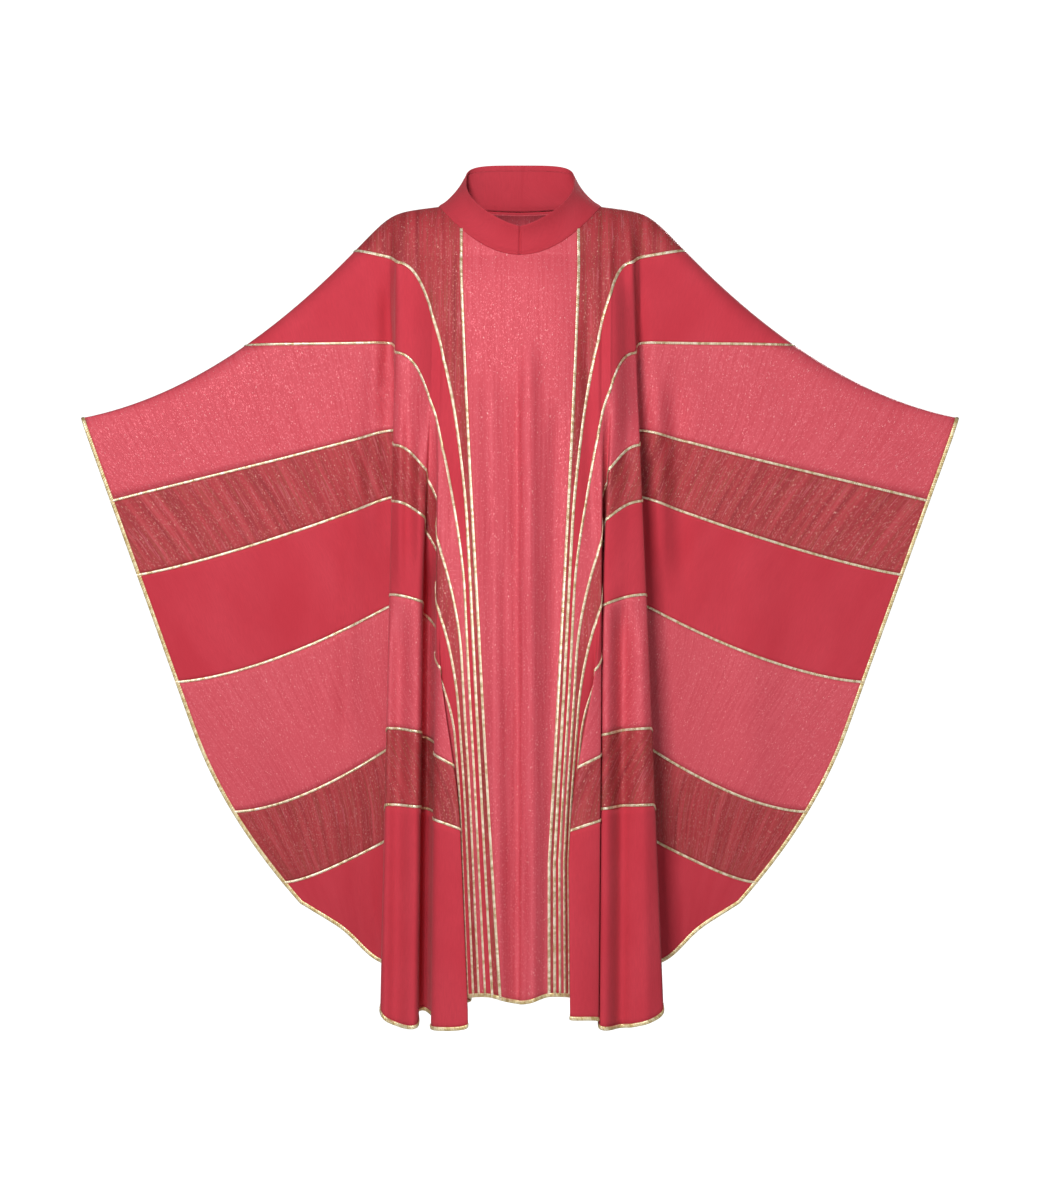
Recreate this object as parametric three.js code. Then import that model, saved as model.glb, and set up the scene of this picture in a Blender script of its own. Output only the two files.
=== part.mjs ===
// Chasuble with a stand-up collar: curved cloth panels, gold bands over the seams and a bound edge.
// Millimetres, +Z up. The origin is on the neck axis at the height where the garment rests on the
// wearer. X runs from wing to wing, and the front faces -Y.
import * as THREE from 'three';

// ---- Driving dimensions ----
const HALF_SPAN = 702; // neck axis to a wing tip, as worn with the wings held out
const LENGTH = 1295; // neck rest down to the lowest point of the hem
const TIP_DROP = 338; // neck rest down to a wing tip
const SHOULDER_X = 208; // where the shoulder turns down into the wing
const SHOULDER_SLOPE = 0.12;
const ARM_SLOPE = 1.14;
const SHOULDER_ROUND = 12;
const EDGE_SLANT = 0.36; // how far the wing edge runs inwards per millimetre down
const EDGE_CURL_START = 500; // down the wing edge, where it starts to curve in to the hem
const EDGE_CURL = 0.00095;
const CORNER_RISE = 182; // end of the wing edge above the lowest hem
const NECK_HALF_WIDTH = 130;
const NECK_FRONT_DROP = 86;
const NECK_BACK_DROP = 6;

const CHEST_DEPTH = 100; // neck axis forward to the cloth at the neck seam
const HEM_DEPTH = 205;
const DEPTH_REACH = 350; // how quickly the front swings out below the neck
const BACK_SHARE = 0.9; // the back stands this much nearer than the front
const CHEST_ROUND = 150; // height of the roll over the shoulder, in front and at the back
const BACK_ROUND = 70;
const WING_ROUND = 45;
const WING_ROOT_DEPTH = 50;
const WING_TIP_DEPTH = 12;
const WING_RIPPLE = 4;
const WING_HEM_WAVE = 6;

const CLOTH = 1;
const BAND = 1.5;
const BAND_HALF_WIDTH = 2.5;
const BINDING = 2;
const BINDING_WIDTH = 6;
const GAP = 0.9; // between pieces that are sewn edge to edge
const NECK_INSET = 1; // from the neck seam to the cloth below it

const COLLAR_SIDE_TOP = 60;
const COLLAR_FRONT_TOP = -42;
const COLLAR_BACK_TOP = 75;
const COLLAR_TOP_HALF_WIDTH = 95;
const COLLAR_TOP_FRONT = 98;
const COLLAR_TOP_BACK = 72;
const COLLAR_WAIST = 5; // how far the collar draws in between its foot and its top
const LINING_START = 0.06; // the collar's inner layers start this share of its height above the seam

// The two sides are draped a little differently. Folds are named from the middle outwards:
// inner fold, gap, outer fold, wing.
const SIDES = [
  {
    name: 'left',
    sign: -1,
    seamHem: 29,
    seamEnd: 0.98,
    pitchHem: 10.5,
    inner: [125, 138],
    outer: [191, 218],
    gapOpen: 18,
  },
  {
    name: 'right',
    sign: 1,
    seamHem: 43,
    seamEnd: 0.8,
    pitchHem: 8.5,
    inner: [133, 121],
    outer: [173, 224],
    gapOpen: 1,
  },
];
const SEAM_TOP = 93; // half width of the centre panel at the chest
const SEAM_START = 0.08; // share of LENGTH where the centre panel starts to narrow
const SEAM_BEND = 1.15;
const PITCH_TOP = 7; // between neighbouring bands, where they run together beside the centre panel
const VALLEY_PITCH = 9;
const GAP_DEPTH = 52;
const VALLEY_DEPTH = 42;
const WALL_SET = 4; // from the last strip outwards to the valley wall
const SWELL = 10;
const SIDE_SET_BACK = 0.3; // share of its depth that the front loses towards the outer fold
const CREST_MARGIN = 14; // least width of the inner fold
const FOLD_CREST = 0.6; // where the inner fold's crest lies between the valley and its edge
const OUTER_CREST = 0.55;

// Shares of LENGTH between which the cloth gathers into folds
const FOLDS_FORM = [0.2, 0.5];
const VALLEY_FORMS = [0.5, 0.76];
const SIDES_WRAP = [0.1, 0.3];

// Each band is a quarter ellipse in the flat cloth, from a strip beside the centre panel out to the
// side, and then a shallow curve across the wing. Heights are shares of LENGTH below the neck rest.
const BANDS = [
  null,
  { turn: 0.402, side: 0.074, root: 0.066, ridgeX: 265 },
  { turn: 0.48, side: 0.185, root: 0.17, ridgeX: 440 },
  { turn: 0.563, side: 0.298, root: 0.275, edge: 0.364, bend: 1 },
  { turn: 0.62, side: 0.366, root: 0.357, edge: 0.455, bend: 1.2 },
  { turn: 0.652, side: 0.479, root: 0.491, edge: 0.587, bend: 1.5 },
  { turn: 0.784, side: 0.64, root: 0.667, edge: 0.747, bend: 1.7 },
  { turn: 0.83, side: 0.732, root: 0.78, edge: 0.834, bend: 1.7 },
];
const PANEL_NAMES = [
  'yoke',
  'upper_plain',
  'upper_glitter',
  'upper_streaked',
  'middle_plain',
  'lower_glitter',
  'lower_streaked',
  'hem_plain',
];
const PANEL_CELLS = [4, 3, 3, 1, 3, 2, 2, 2];
const FIRST_OPEN_PANEL = 3; // panels before this one run over the shoulder from front to back
const LAST_PANEL = PANEL_NAMES.length - 1;
const SHOULDER_BANDS = [1, 2]; // bands that run over the shoulder in one piece

// Hem height above LENGTH at each knot of the drape, from the middle out to the wing root.
const HEM_RISES = [48, 50, 45, 36, 5, 0, 12, 22, 6, 2, 20, 55, 87];

const EDGE_INSET = BINDING_WIDTH + GAP;
const SEAM_INSET = BAND_HALF_WIDTH + GAP;
const BAND_END_SLANT = 1.2; // a band's square end stays this much further off a slanted edge
const TIP_INSET = 1.4 * EDGE_INSET; // the binding turns round the tip, which takes more room

// ---- Drape ----
const LAST_KNOT = HEM_RISES.length - 1;
const WING_KNOTS = 6;
const VALLEY_KNOT = 3; // bottom of the fold beside the centre panel
const OPEN_STRIPS = 5; // bands whose strips stay in front of the valley
const OUTER_KNOT = 10; // crest of the outer fold
const WING_STATIONS = [0.2, 0.5, 0.83, 1];

const clamp = (value, low, high) => Math.min(high, Math.max(low, value));
const mix = (a, b, t) => a + (b - a) * t;

function ease(from, to, value) {
  const t = clamp((value - from) / (to - from), 0, 1);
  return t * t * (3 - 2 * t);
}

function softCorner(x) {
  return SHOULDER_ROUND * Math.log(1 + Math.exp((x - SHOULDER_X) / SHOULDER_ROUND));
}

function straightRidge(x) {
  return -SHOULDER_SLOPE * (x - NECK_HALF_WIDTH) - (ARM_SLOPE - SHOULDER_SLOPE) * softCorner(x);
}

const RIDGE_LIFT = (-TIP_DROP - straightRidge(HALF_SPAN)) / (HALF_SPAN - SHOULDER_X) ** 2;

// Height of the shoulder line, where the front passes over into the back.
function ridge(x) {
  return straightRidge(x) + RIDGE_LIFT * Math.max(0, x - SHOULDER_X) ** 2;
}

function catmull(a, b, c, d, t) {
  const slopeB = (c - a) / 2;
  const slopeC = (d - b) / 2;
  const t2 = t * t;
  const t3 = t2 * t;
  return (2 * t3 - 3 * t2 + 1) * b + (t3 - 2 * t2 + t) * slopeB + (3 * t2 - 2 * t3) * c + (t3 - t2) * slopeC;
}

function alongKnots(values, u) {
  const i = Math.min(Math.floor(u), LAST_KNOT - 1);
  const before = i > 0 ? values[i - 1] : values[1];
  const after = i + 2 <= LAST_KNOT ? values[i + 2] : 2 * values[LAST_KNOT] - values[LAST_KNOT - 1];
  return catmull(before, values[i], values[i + 1], after, u - i);
}

// Centripetal spline through plan points, which follows tight folds without overshooting.
function planPoint(knots, u) {
  const i = Math.min(Math.floor(u), LAST_KNOT - 1);
  const [from, to] = [knots[i], knots[i + 1]];
  const before = i > 0 ? knots[i - 1] : [-knots[1][0], knots[1][1]];
  const beyond = [2 * to[0] - from[0], 2 * to[1] - from[1]];
  const points = [before, from, to, knots[i + 2] ?? beyond];
  const times = [0];
  for (let k = 1; k < 4; k += 1) {
    const step = Math.hypot(points[k][0] - points[k - 1][0], points[k][1] - points[k - 1][1]);
    times.push(times[k - 1] + Math.sqrt(step));
  }
  const time = mix(times[1], times[2], u - i);
  const blend = (a, b, low, high) => {
    const share = (time - times[low]) / (times[high] - times[low]);
    return [mix(a[0], b[0], share), mix(a[1], b[1], share)];
  };
  const legs = [0, 1, 2].map((k) => blend(points[k], points[k + 1], k, k + 1));
  const bends = [0, 1].map((k) => blend(legs[k], legs[k + 1], k, k + 2));
  return blend(bends[0], bends[1], 1, 2);
}

const down = (z) => clamp(-z / LENGTH, 0, 1);

// Half width of the centre panel, which narrows towards the hem.
function seamX(side, z) {
  const share = clamp((down(z) - SEAM_START) / (side.seamEnd - SEAM_START), 0, 1);
  return mix(SEAM_TOP, side.seamHem, share ** SEAM_BEND);
}

const pitchAt = (side, z) => mix(PITCH_TOP, side.pitchHem, down(z));

// Distance of a band's strip from the middle, along the cloth.
function stripAt(side, band, z) {
  const inValley = Math.max(0, band - OPEN_STRIPS);
  return seamX(side, z) + (band - inValley) * pitchAt(side, z) + inValley * VALLEY_PITCH;
}

// Plan of one side of the front at one height: knots from the middle to the wing root.
function section(side, z) {
  const depth = mix(CHEST_DEPTH, HEM_DEPTH, 1 - Math.exp(Math.min(0, z + NECK_FRONT_DROP) / DEPTH_REACH));
  const folded = ease(...FOLDS_FORM, down(z));
  const valley = ease(...VALLEY_FORMS, down(z));
  const wrapped = ease(...SIDES_WRAP, down(z));
  const innerX = mix(side.inner[0], side.inner[1], down(z));
  const outerX = mix(side.outer[0], side.outer[1], down(z));
  const lastStripX = seamX(side, z) + OPEN_STRIPS * pitchAt(side, z);
  const wallX = Math.min(lastStripX + WALL_SET, innerX - CREST_MARGIN);
  const gapX = innerX + mix(15, 2 + side.gapOpen * down(z), folded);
  const hang = (x) => -depth * (1 - SIDE_SET_BACK * (x / outerX) ** 2);
  const rootDepth = WING_ROOT_DEPTH * (1 - SIDE_SET_BACK * down(z));
  return [
    [0, hang(0)],
    [wallX / 2, hang(wallX / 2) + SWELL * 0.5 * folded],
    [wallX, hang(wallX)],
    [wallX + mix(6, 8, valley), hang(wallX) + VALLEY_DEPTH * valley],
    [mix(wallX + 8, innerX, FOLD_CREST), hang(innerX) - SWELL * folded],
    [innerX, hang(innerX) + SWELL * 0.3 * folded],
    [innerX + mix(5, -7, folded), hang(innerX) + GAP_DEPTH * 0.5 * folded],
    [innerX + mix(10, 3 + side.gapOpen * 0.4 * down(z), folded), hang(innerX) + GAP_DEPTH * folded],
    [gapX, hang(gapX) + SWELL * folded],
    [mix(gapX, outerX, OUTER_CREST), hang(outerX) - SWELL * folded],
    [outerX, hang(outerX) + SWELL * 0.5 * wrapped],
    [outerX + mix(6, -9, wrapped), mix(hang(outerX), -rootDepth, 0.5)],
    [mix(wingColumn(side, 0, z), outerX - 2, wrapped), -rootDepth],
  ];
}

// The drape is asked for many times at the same height, so sections and lengths are kept.
const kept = new Map();
const ARC_STEPS = 6;

function sectionAt(side, z) {
  const key = `${side.name}${z.toFixed(3)}`;
  if (!kept.has(key)) {
    const knots = section(side, z);
    const arc = [0];
    let last = knots[0];
    for (let i = 1; i <= LAST_KNOT * ARC_STEPS; i += 1) {
      const next = planPoint(knots, i / ARC_STEPS);
      arc.push(arc[i - 1] + Math.hypot(next[0] - last[0], next[1] - last[1]));
      last = next;
    }
    kept.set(key, { knots, arc });
  }
  return kept.get(key);
}

function arcAt(side, u, z) {
  const arc = sectionAt(side, z).arc;
  const i = Math.min(Math.floor(u * ARC_STEPS), arc.length - 2);
  return mix(arc[i], arc[i + 1], u * ARC_STEPS - i);
}

function solveKnot(measure, wanted, end) {
  let low = 0;
  let high = end;
  for (let i = 0; i < 40; i += 1) {
    const middle = (low + high) / 2;
    if (measure(middle) < wanted) low = middle;
    else high = middle;
  }
  return (low + high) / 2;
}

const knotAtArc = (side, distance, z) => solveKnot((u) => arcAt(side, u, z), distance, LAST_KNOT);
const knotAtX = (side, x, z) => solveKnot((u) => drapeX(side, u, z), x, wingKnot(1));

const TIP_Z = -TIP_DROP;
const CORNER_Z = CORNER_RISE - LENGTH;
const ROOT_SET = 14; // wing root outwards of the outer fold, at the shoulder
const rootX = (side) => side.outer[0] + ROOT_SET;

function wingEdgeX(z) {
  const fall = TIP_Z - z;
  return HALF_SPAN - EDGE_SLANT * fall - EDGE_CURL * Math.max(0, fall - EDGE_CURL_START) ** 2;
}

// Columns of the wing fan out from the wing root to the wing edge, as the threads of the cloth do.
function wingColumn(side, w, z) {
  const topX = mix(rootX(side), HALF_SPAN, w);
  const lowX = mix(side.outer[1], wingEdgeX(CORNER_Z), w);
  const topZ = ridge(topX);
  const lowZ = wingHem(w);
  const share = (z - topZ) / (lowZ - topZ);
  const edgeShare = (z - TIP_Z) / (CORNER_Z - TIP_Z);
  const bow = z < TIP_Z ? wingEdgeX(z) - mix(HALF_SPAN, wingEdgeX(CORNER_Z), edgeShare) : 0;
  return mix(topX, lowX, share) + w * w * bow;
}

function wingHem(w) {
  const wave = WING_HEM_WAVE * Math.sin(2.5 * Math.PI * w) * (1 - w);
  return -LENGTH + mix(HEM_RISES[LAST_KNOT], CORNER_RISE, w) - wave;
}

function hem(u) {
  if (u > LAST_KNOT) return wingHem((u - LAST_KNOT) / WING_KNOTS);
  return -LENGTH + alongKnots(HEM_RISES, u);
}

const wingShare = (u) => (u - LAST_KNOT) / WING_KNOTS;
const wingKnot = (w) => LAST_KNOT + WING_KNOTS * w;

function drapeX(side, u, z) {
  const { knots } = sectionAt(side, z);
  if (u <= LAST_KNOT) return planPoint(knots, u)[0];
  const w = wingShare(u);
  const column = wingColumn(side, w, z);
  const tuck = knots[LAST_KNOT][0] - wingColumn(side, 0, z);
  return column + tuck * (1 - w) ** 3 * ease(0, WING_ROUND, ridge(column) - z);
}

function drapeY(side, u, z) {
  const { knots } = sectionAt(side, z);
  if (u <= LAST_KNOT) return planPoint(knots, u)[1];
  const w = wingShare(u);
  const ripple = WING_RIPPLE * Math.sin(5 * w + z / 130) * w * (1 - w);
  return mix(knots[LAST_KNOT][1], -WING_TIP_DEPTH, w ** 0.6) - ripple;
}

// A point of the draped cloth. sheet is -1 for the front and 1 for the back.
function drape(side, sheet, u, z) {
  const x = drapeX(side, u, z);
  const y = drapeY(side, u, z);
  const bodyRound = sheet < 0 ? CHEST_ROUND : BACK_ROUND;
  const round = mix(bodyRound, WING_ROUND, ease(NECK_HALF_WIDTH, SHOULDER_X + 60, x));
  const below = clamp((ridge(x) - z) / round, 0, 1);
  const roll = Math.sqrt(1 - (1 - below) ** 2);
  const reach = sheet < 0 ? 1 : BACK_SHARE;
  return new THREE.Vector3(side.sign * x, -sheet * y * roll * reach, z);
}

function neckSeam(x, sheet) {
  const drop = sheet < 0 ? NECK_FRONT_DROP : NECK_BACK_DROP;
  return -drop * (1 - (x / NECK_HALF_WIDTH) ** 2);
}

// ---- Bands and panel grids, in (knot, height) ----
const STRIP_ROWS = 4;
const TURN_SHARES = [0.12, 0.45];

function bandEnd(side, band) {
  const spec = BANDS[band];
  if (spec.ridgeX === undefined) return [wingKnot(1), -spec.edge * LENGTH];
  return onRidge(side, spec.ridgeX);
}

function stripFoot(side, band) {
  let z = -LENGTH + HEM_RISES[1];
  for (let i = 0; i < 3; i += 1) {
    z = hem(knotAtArc(side, stripAt(side, band, z), z));
  }
  return z;
}

// Stations of one band from the hem to its outer end. All bands have as many stations as each other.
function bandStations(side, band) {
  const spec = BANDS[band];
  const stations = [];
  const foot = stripFoot(side, band);
  const turnZ = -spec.turn * LENGTH;
  const sideZ = -spec.side * LENGTH;
  for (let i = 0; i < STRIP_ROWS; i += 1) {
    const z = mix(foot, turnZ, i / (STRIP_ROWS - 1));
    stations.push([knotAtArc(side, stripAt(side, band, z), z), z]);
  }
  const strip = stripAt(side, band, sideZ);
  const span = arcAt(side, OUTER_KNOT, sideZ) - strip;
  const rise = (share) => mix(turnZ, sideZ, Math.sqrt(1 - (1 - clamp(share, 0, 1)) ** 2));
  const firstShare = (arcAt(side, VALLEY_KNOT, sideZ) - strip) / span;
  for (const share of TURN_SHARES) {
    const z = rise(firstShare * share);
    const startArc = stripAt(side, band, z);
    const distance = mix(startArc, arcAt(side, VALLEY_KNOT, z), share);
    stations.push([knotAtArc(side, distance, z), z]);
  }
  for (let u = VALLEY_KNOT; u <= OUTER_KNOT; u += 1) {
    stations.push([u, rise((arcAt(side, u, sideZ) - strip) / span)]);
  }
  const rootZ = -spec.root * LENGTH;
  stations.push([OUTER_KNOT + 1, mix(sideZ, rootZ, 0.5)]);
  stations.push([LAST_KNOT, rootZ]);
  const [endKnot, endZ] = bandEnd(side, band);
  for (const share of WING_STATIONS) {
    const z = mix(rootZ, endZ, 1 - (1 - share) ** (spec.bend ?? 1));
    stations.push([mix(LAST_KNOT, endKnot, share), z]);
  }
  return stations;
}

// The band on the centre seam climbs straight to the neck.
function seamStations(side, neighbour, sheet) {
  const foot = stripFoot(side, 0);
  const turnZ = -BANDS[1].turn * LENGTH;
  const top = neckSeam(SEAM_TOP - SEAM_INSET, sheet) - NECK_INSET;
  const endZ = neighbour.at(-1)[1];
  return neighbour.map(([, besideZ], i) => {
    const climbed = (besideZ - turnZ) / (endZ - turnZ);
    const z = i < STRIP_ROWS ? mix(foot, turnZ, i / (STRIP_ROWS - 1)) : mix(turnZ, top, climbed);
    return [knotAtArc(side, stripAt(side, 0, z), z), z];
  });
}

// The hem seen as the last line of the lowest panel.
function hemStations(side, stations) {
  const foot = stations[0][0];
  const firstKnot = STRIP_ROWS + TURN_SHARES.length;
  return stations.map(([u], i) => {
    const knot = i < firstKnot ? mix(foot, VALLEY_KNOT, ((i + 1) / (firstKnot + 1)) ** 0.7) : u;
    return [knot, hem(knot)];
  });
}

function onRidge(side, x) {
  const z = ridge(x);
  if (x < rootX(side)) return [knotAtX(side, x, z), z];
  return [wingKnot((x - rootX(side)) / (HALF_SPAN - rootX(side))), z];
}

// Outer end of the panels that run over the shoulder: the points between two band ends.
function shoulderEnd(side, sheet, panel) {
  if (panel === 0) {
    const seamMiddle = mix(SEAM_TOP, NECK_HALF_WIDTH, 0.5);
    const z = neckSeam(seamMiddle, sheet) - NECK_INSET;
    const shoulder = mix(NECK_HALF_WIDTH, BANDS[1].ridgeX, 0.5);
    const neckSide = NECK_HALF_WIDTH + NECK_INSET;
    return [[seamMiddle, z], [neckSide, ridge(neckSide)], [shoulder, ridge(shoulder)]];
  }
  const from = BANDS[panel].ridgeX;
  if (panel === 1) {
    return [1 / 3, 2 / 3].map((share) => onRidge(side, mix(from, BANDS[2].ridgeX, share)));
  }
  return [onRidge(side, mix(from, HALF_SPAN, 0.5)), onRidge(side, HALF_SPAN - TIP_INSET)];
}

const RIDGE_COLUMNS = [[2, 4], [0, 3], [0, 2]]; // columns of each of these panels' ends on the ridge
const END_PULL = 5; // how sharply the last rows turn to follow the end of the panel

// Grid of a panel between its two bands. The yoke is laid out across in millimetres, because its
// bands don't share their knots, and the other panels in knots.
function panelGrid(side, sheet, panel, lines) {
  const cells = PANEL_CELLS[panel];
  const isYoke = panel === 0;
  const across = ([u, z]) => [isYoke ? drapeX(side, u, z) : u, z];
  const inner = lines[panel].map(across);
  const outer = (panel < LAST_PANEL ? lines[panel + 1] : hemStations(side, lines[panel])).map(across);
  const last = inner.length - 1;
  const end = panel < FIRST_OPEN_PANEL ? shoulderEnd(side, sheet, panel) : null;
  const between = (i, share) => [0, 1].map((axis) => mix(inner[i][axis], outer[i][axis], share));
  return inner.map((from, i) => {
    const row = [];
    for (let b = 0; b <= cells; b += 1) {
      const share = b / cells;
      const point = between(i, share);
      if (end && b > 0 && b < cells) {
        const flat = between(last, share);
        const pull = (i / last) ** END_PULL;
        point[0] += pull * (end[b - 1][0] - flat[0]);
        point[1] += pull * (end[b - 1][1] - flat[1]);
      }
      row.push(isYoke ? [knotAtX(side, point[0], point[1]), point[1]] : point);
    }
    return row;
  });
}

// ---- Solids ----
// Thickens an open sheet of quads into one closed solid. Faces that use the same vertex are joined.
function thicken(points, quads, inside, outside) {
  const normals = points.map(() => new THREE.Vector3());
  const triangles = quads.flatMap(([a, b, c, d]) => [[a, b, c], [a, c, d]]);
  const edges = new Map();
  for (const [a, b, c] of triangles) {
    const normal = new THREE.Vector3()
      .subVectors(points[b], points[a])
      .cross(new THREE.Vector3().subVectors(points[c], points[a]));
    for (const corner of [a, b, c]) normals[corner].add(normal);
    for (const [from, to] of [[a, b], [b, c], [c, a]]) {
      if (edges.has(`${to},${from}`)) edges.delete(`${to},${from}`);
      else edges.set(`${from},${to}`, [from, to]);
    }
  }
  const positions = [];
  for (const distance of [outside, inside]) {
    points.forEach((point, i) => {
      positions.push(...point.clone().addScaledVector(normals[i].clone().normalize(), distance).toArray());
    });
  }
  const under = points.length;
  const index = [];
  for (const [a, b, c] of triangles) {
    index.push(a, b, c, under + c, under + b, under + a);
  }
  for (const [from, to] of edges.values()) {
    index.push(from, under + from, to, to, under + from, under + to);
  }
  const geometry = new THREE.BufferGeometry();
  geometry.setAttribute('position', new THREE.Float32BufferAttribute(positions, 3));
  geometry.setIndex(index);
  return geometry;
}

// Steps over which the drape's directions are measured
const KNOT_STEP = 0.05;
const EDGE_STEP = 30;

function surfaceNormal(side, sheet, u, z) {
  const alongU = drape(side, sheet, u + 0.03, z).sub(drape(side, sheet, Math.max(0, u - 0.03), z));
  const alongZ = drape(side, sheet, u, z + 1).sub(drape(side, sheet, u, z - 1));
  return alongU.cross(alongZ).multiplyScalar(-side.sign * sheet).normalize();
}

function ridgeNormal(side, x) {
  const slope = ridge(x + 1) - ridge(x - 1);
  return new THREE.Vector3(-side.sign * slope, 0, 2).normalize();
}

// Points of a line of stations, with the in-cloth direction square to it at each of them.
function rail(side, sheet, stations, overRidge) {
  return stations.map((station, i) => {
    const [u, z] = station;
    const point = drape(side, sheet, u, z);
    const isRidge = overRidge && i === stations.length - 1;
    const along = isRidge ? new THREE.Vector3(0, -sheet, 0) : lineTangent(side, sheet, stations, i);
    const normal = isRidge ? ridgeNormal(side, Math.abs(point.x)) : surfaceNormal(side, sheet, u, z);
    const across = normal.clone().cross(along).multiplyScalar(-side.sign * sheet).normalize();
    return { point, along, across, normal, station };
  });
}

function lineTangent(side, sheet, stations, i) {
  const [u, z] = stations[i];
  const before = stations[Math.max(0, i - 1)];
  const after = stations[Math.min(stations.length - 1, i + 1)];
  const step = 0.04 / Math.max(0.2, after[0] - before[0]);
  const stepU = (after[0] - before[0]) * step;
  const stepZ = (after[1] - before[1]) * step;
  const low = drape(side, sheet, u - stepU, z - stepZ);
  return drape(side, sheet, Math.min(u + stepU, wingKnot(1)), z + stepZ).sub(low).normalize();
}

const lineRails = {};

function sideLines(side, sheet) {
  const key = `${side.name}${sheet}`;
  if (!lineRails[key]) {
    const lines = [null];
    for (let band = 1; band < BANDS.length; band += 1) lines.push(bandStations(side, band));
    lines[0] = seamStations(side, lines[1], sheet);
    const rails = lines.map((line, band) => rail(side, sheet, line, SHOULDER_BANDS.includes(band)));
    lineRails[key] = { lines, rails };
  }
  return lineRails[key];
}

// Shift of a line's end that takes it off the free edge, along the line itself.
function endShift(side, sheet, entry, isFoot, inset) {
  const along = entry.along.clone().multiplyScalar(isFoot ? 1 : -1);
  const inward = inwards(side, sheet, ...entry.station);
  return along.multiplyScalar(inset / Math.max(0.3, along.dot(inward)));
}

// Direction off a band that moves a point by one across it: square to it, or along the free edge.
function sideways(side, sheet, entry, atEnd) {
  if (!atEnd) return entry.across;
  const edge = entry.normal.clone().cross(inwards(side, sheet, ...entry.station));
  return edge.divideScalar(edge.dot(entry.across));
}

function panelPoints(side, sheet, panel) {
  const { lines, rails } = sideLines(side, sheet);
  const grid = panelGrid(side, sheet, panel, lines);
  const last = grid.length - 1;
  return grid.map((row, i) => row.map(([u, z], b) => {
    const share = b / (row.length - 1);
    const point = drape(side, sheet, u, z);
    const isHem = panel === LAST_PANEL && share === 1;
    const isFoot = i === 0 || isHem;
    const isTip = panel === FIRST_OPEN_PANEL - 1 && share === 1;
    const isWingEdge = i === last && (panel >= FIRST_OPEN_PANEL || isTip);
    const atEnd = isFoot || isWingEdge;
    const upper = rails[panel][i];
    const lower = rails[panel + 1]?.[i] ?? upper;
    point.addScaledVector(sideways(side, sheet, upper, atEnd), -SEAM_INSET * (1 - share));
    if (panel < LAST_PANEL) {
      point.addScaledVector(sideways(side, sheet, lower, atEnd), SEAM_INSET * share);
    }
    if (isHem) return point.addScaledVector(inwards(side, sheet, u, z), EDGE_INSET);
    if (atEnd) {
      const upperShift = endShift(side, sheet, upper, i === 0, EDGE_INSET);
      point.add(upperShift.lerp(endShift(side, sheet, lower, i === 0, EDGE_INSET), share));
    }
    return point;
  }));
}

// In-cloth direction away from the free edge, for a point on the hem or on the wing edge.
function inwards(side, sheet, u, z) {
  const isWingEdge = u > wingKnot(0.999);
  const behind = isWingEdge ? drape(side, sheet, u, z - EDGE_STEP) : drape(side, sheet, u, z);
  const ahead = isWingEdge
    ? drape(side, sheet, u, z + EDGE_STEP)
    : drape(side, sheet, u + KNOT_STEP, hem(u + KNOT_STEP));
  const along = ahead.sub(behind).normalize();
  const normal = surfaceNormal(side, sheet, isWingEdge ? u - KNOT_STEP : u, z);
  return normal.cross(along).multiplyScalar(-side.sign * sheet).normalize();
}

function gridQuads(rows, columns, at, reversed) {
  const quads = [];
  for (let i = 0; i + 1 < rows; i += 1) {
    for (let b = 0; b + 1 < columns; b += 1) {
      const quad = [at(i, b), at(i, b + 1), at(i + 1, b + 1), at(i + 1, b)];
      quads.push(reversed ? quad.reverse() : quad);
    }
  }
  return quads;
}

const half = CLOTH / 2;

function openPanel(side, sheet, panel) {
  const rows = panelPoints(side, sheet, panel);
  const columns = rows[0].length;
  const quads = gridQuads(rows.length, columns, (i, b) => i * columns + b, side.sign * sheet > 0);
  return thicken(rows.flat(), quads, -half, half);
}

// A panel that runs over the shoulder: front and back share the vertices on the ridge.
function shoulderPanel(side, panel) {
  const front = panelPoints(side, -1, panel);
  const back = panelPoints(side, 1, panel);
  const columns = front[0].length;
  const count = front.length * columns;
  const [firstShared, lastShared] = RIDGE_COLUMNS[panel];
  const frontAt = (i, b) => i * columns + b;
  const backAt = (i, b) => {
    const shared = i === front.length - 1 && b >= firstShared && b <= lastShared;
    return shared ? frontAt(i, b) : count + i * columns + b;
  };
  const quads = [
    ...gridQuads(front.length, columns, frontAt, side.sign < 0),
    ...gridQuads(front.length, columns, backAt, side.sign > 0),
  ];
  return thicken(...dropUnused([...front.flat(), ...back.flat()], quads), -half, half);
}

function dropUnused(points, quads) {
  const used = [...new Set(quads.flat())].sort((a, b) => a - b);
  const place = new Map(used.map((old, now) => [old, now]));
  return [used.map((old) => points[old]), quads.map((quad) => quad.map((old) => place.get(old)))];
}

function bandRails(side, sheet, band) {
  const rails = sideLines(side, sheet).rails[band];
  const last = rails.length - 1;
  return rails.map((entry, i) => {
    const atEdge = i === 0 || (i === last && band >= FIRST_OPEN_PANEL);
    if (!atEdge) return entry;
    const shift = endShift(side, sheet, entry, i === 0, EDGE_INSET + BAND_END_SLANT);
    return { ...entry, point: entry.point.clone().add(shift) };
  });
}

function stripSolid(chain, low, high, thickness, closed) {
  const points = chain.flatMap((entry) => [
    entry.point.clone().addScaledVector(entry.across, low),
    entry.point.clone().addScaledVector(entry.across, high),
  ]);
  const count = chain.length;
  const rows = closed ? count + 1 : count;
  const at = (i, b) => (i % count) * 2 + b;
  return thicken(points, gridQuads(rows, 2, at, false), -thickness / 2, thickness / 2);
}

function bandSolid(side, sheet, band) {
  const chain = bandRails(side, sheet, band);
  const ordered = side.sign * sheet > 0 ? chain : chain.reverse();
  return stripSolid(orient(ordered), -BAND_HALF_WIDTH, BAND_HALF_WIDTH, BAND, false);
}

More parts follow.
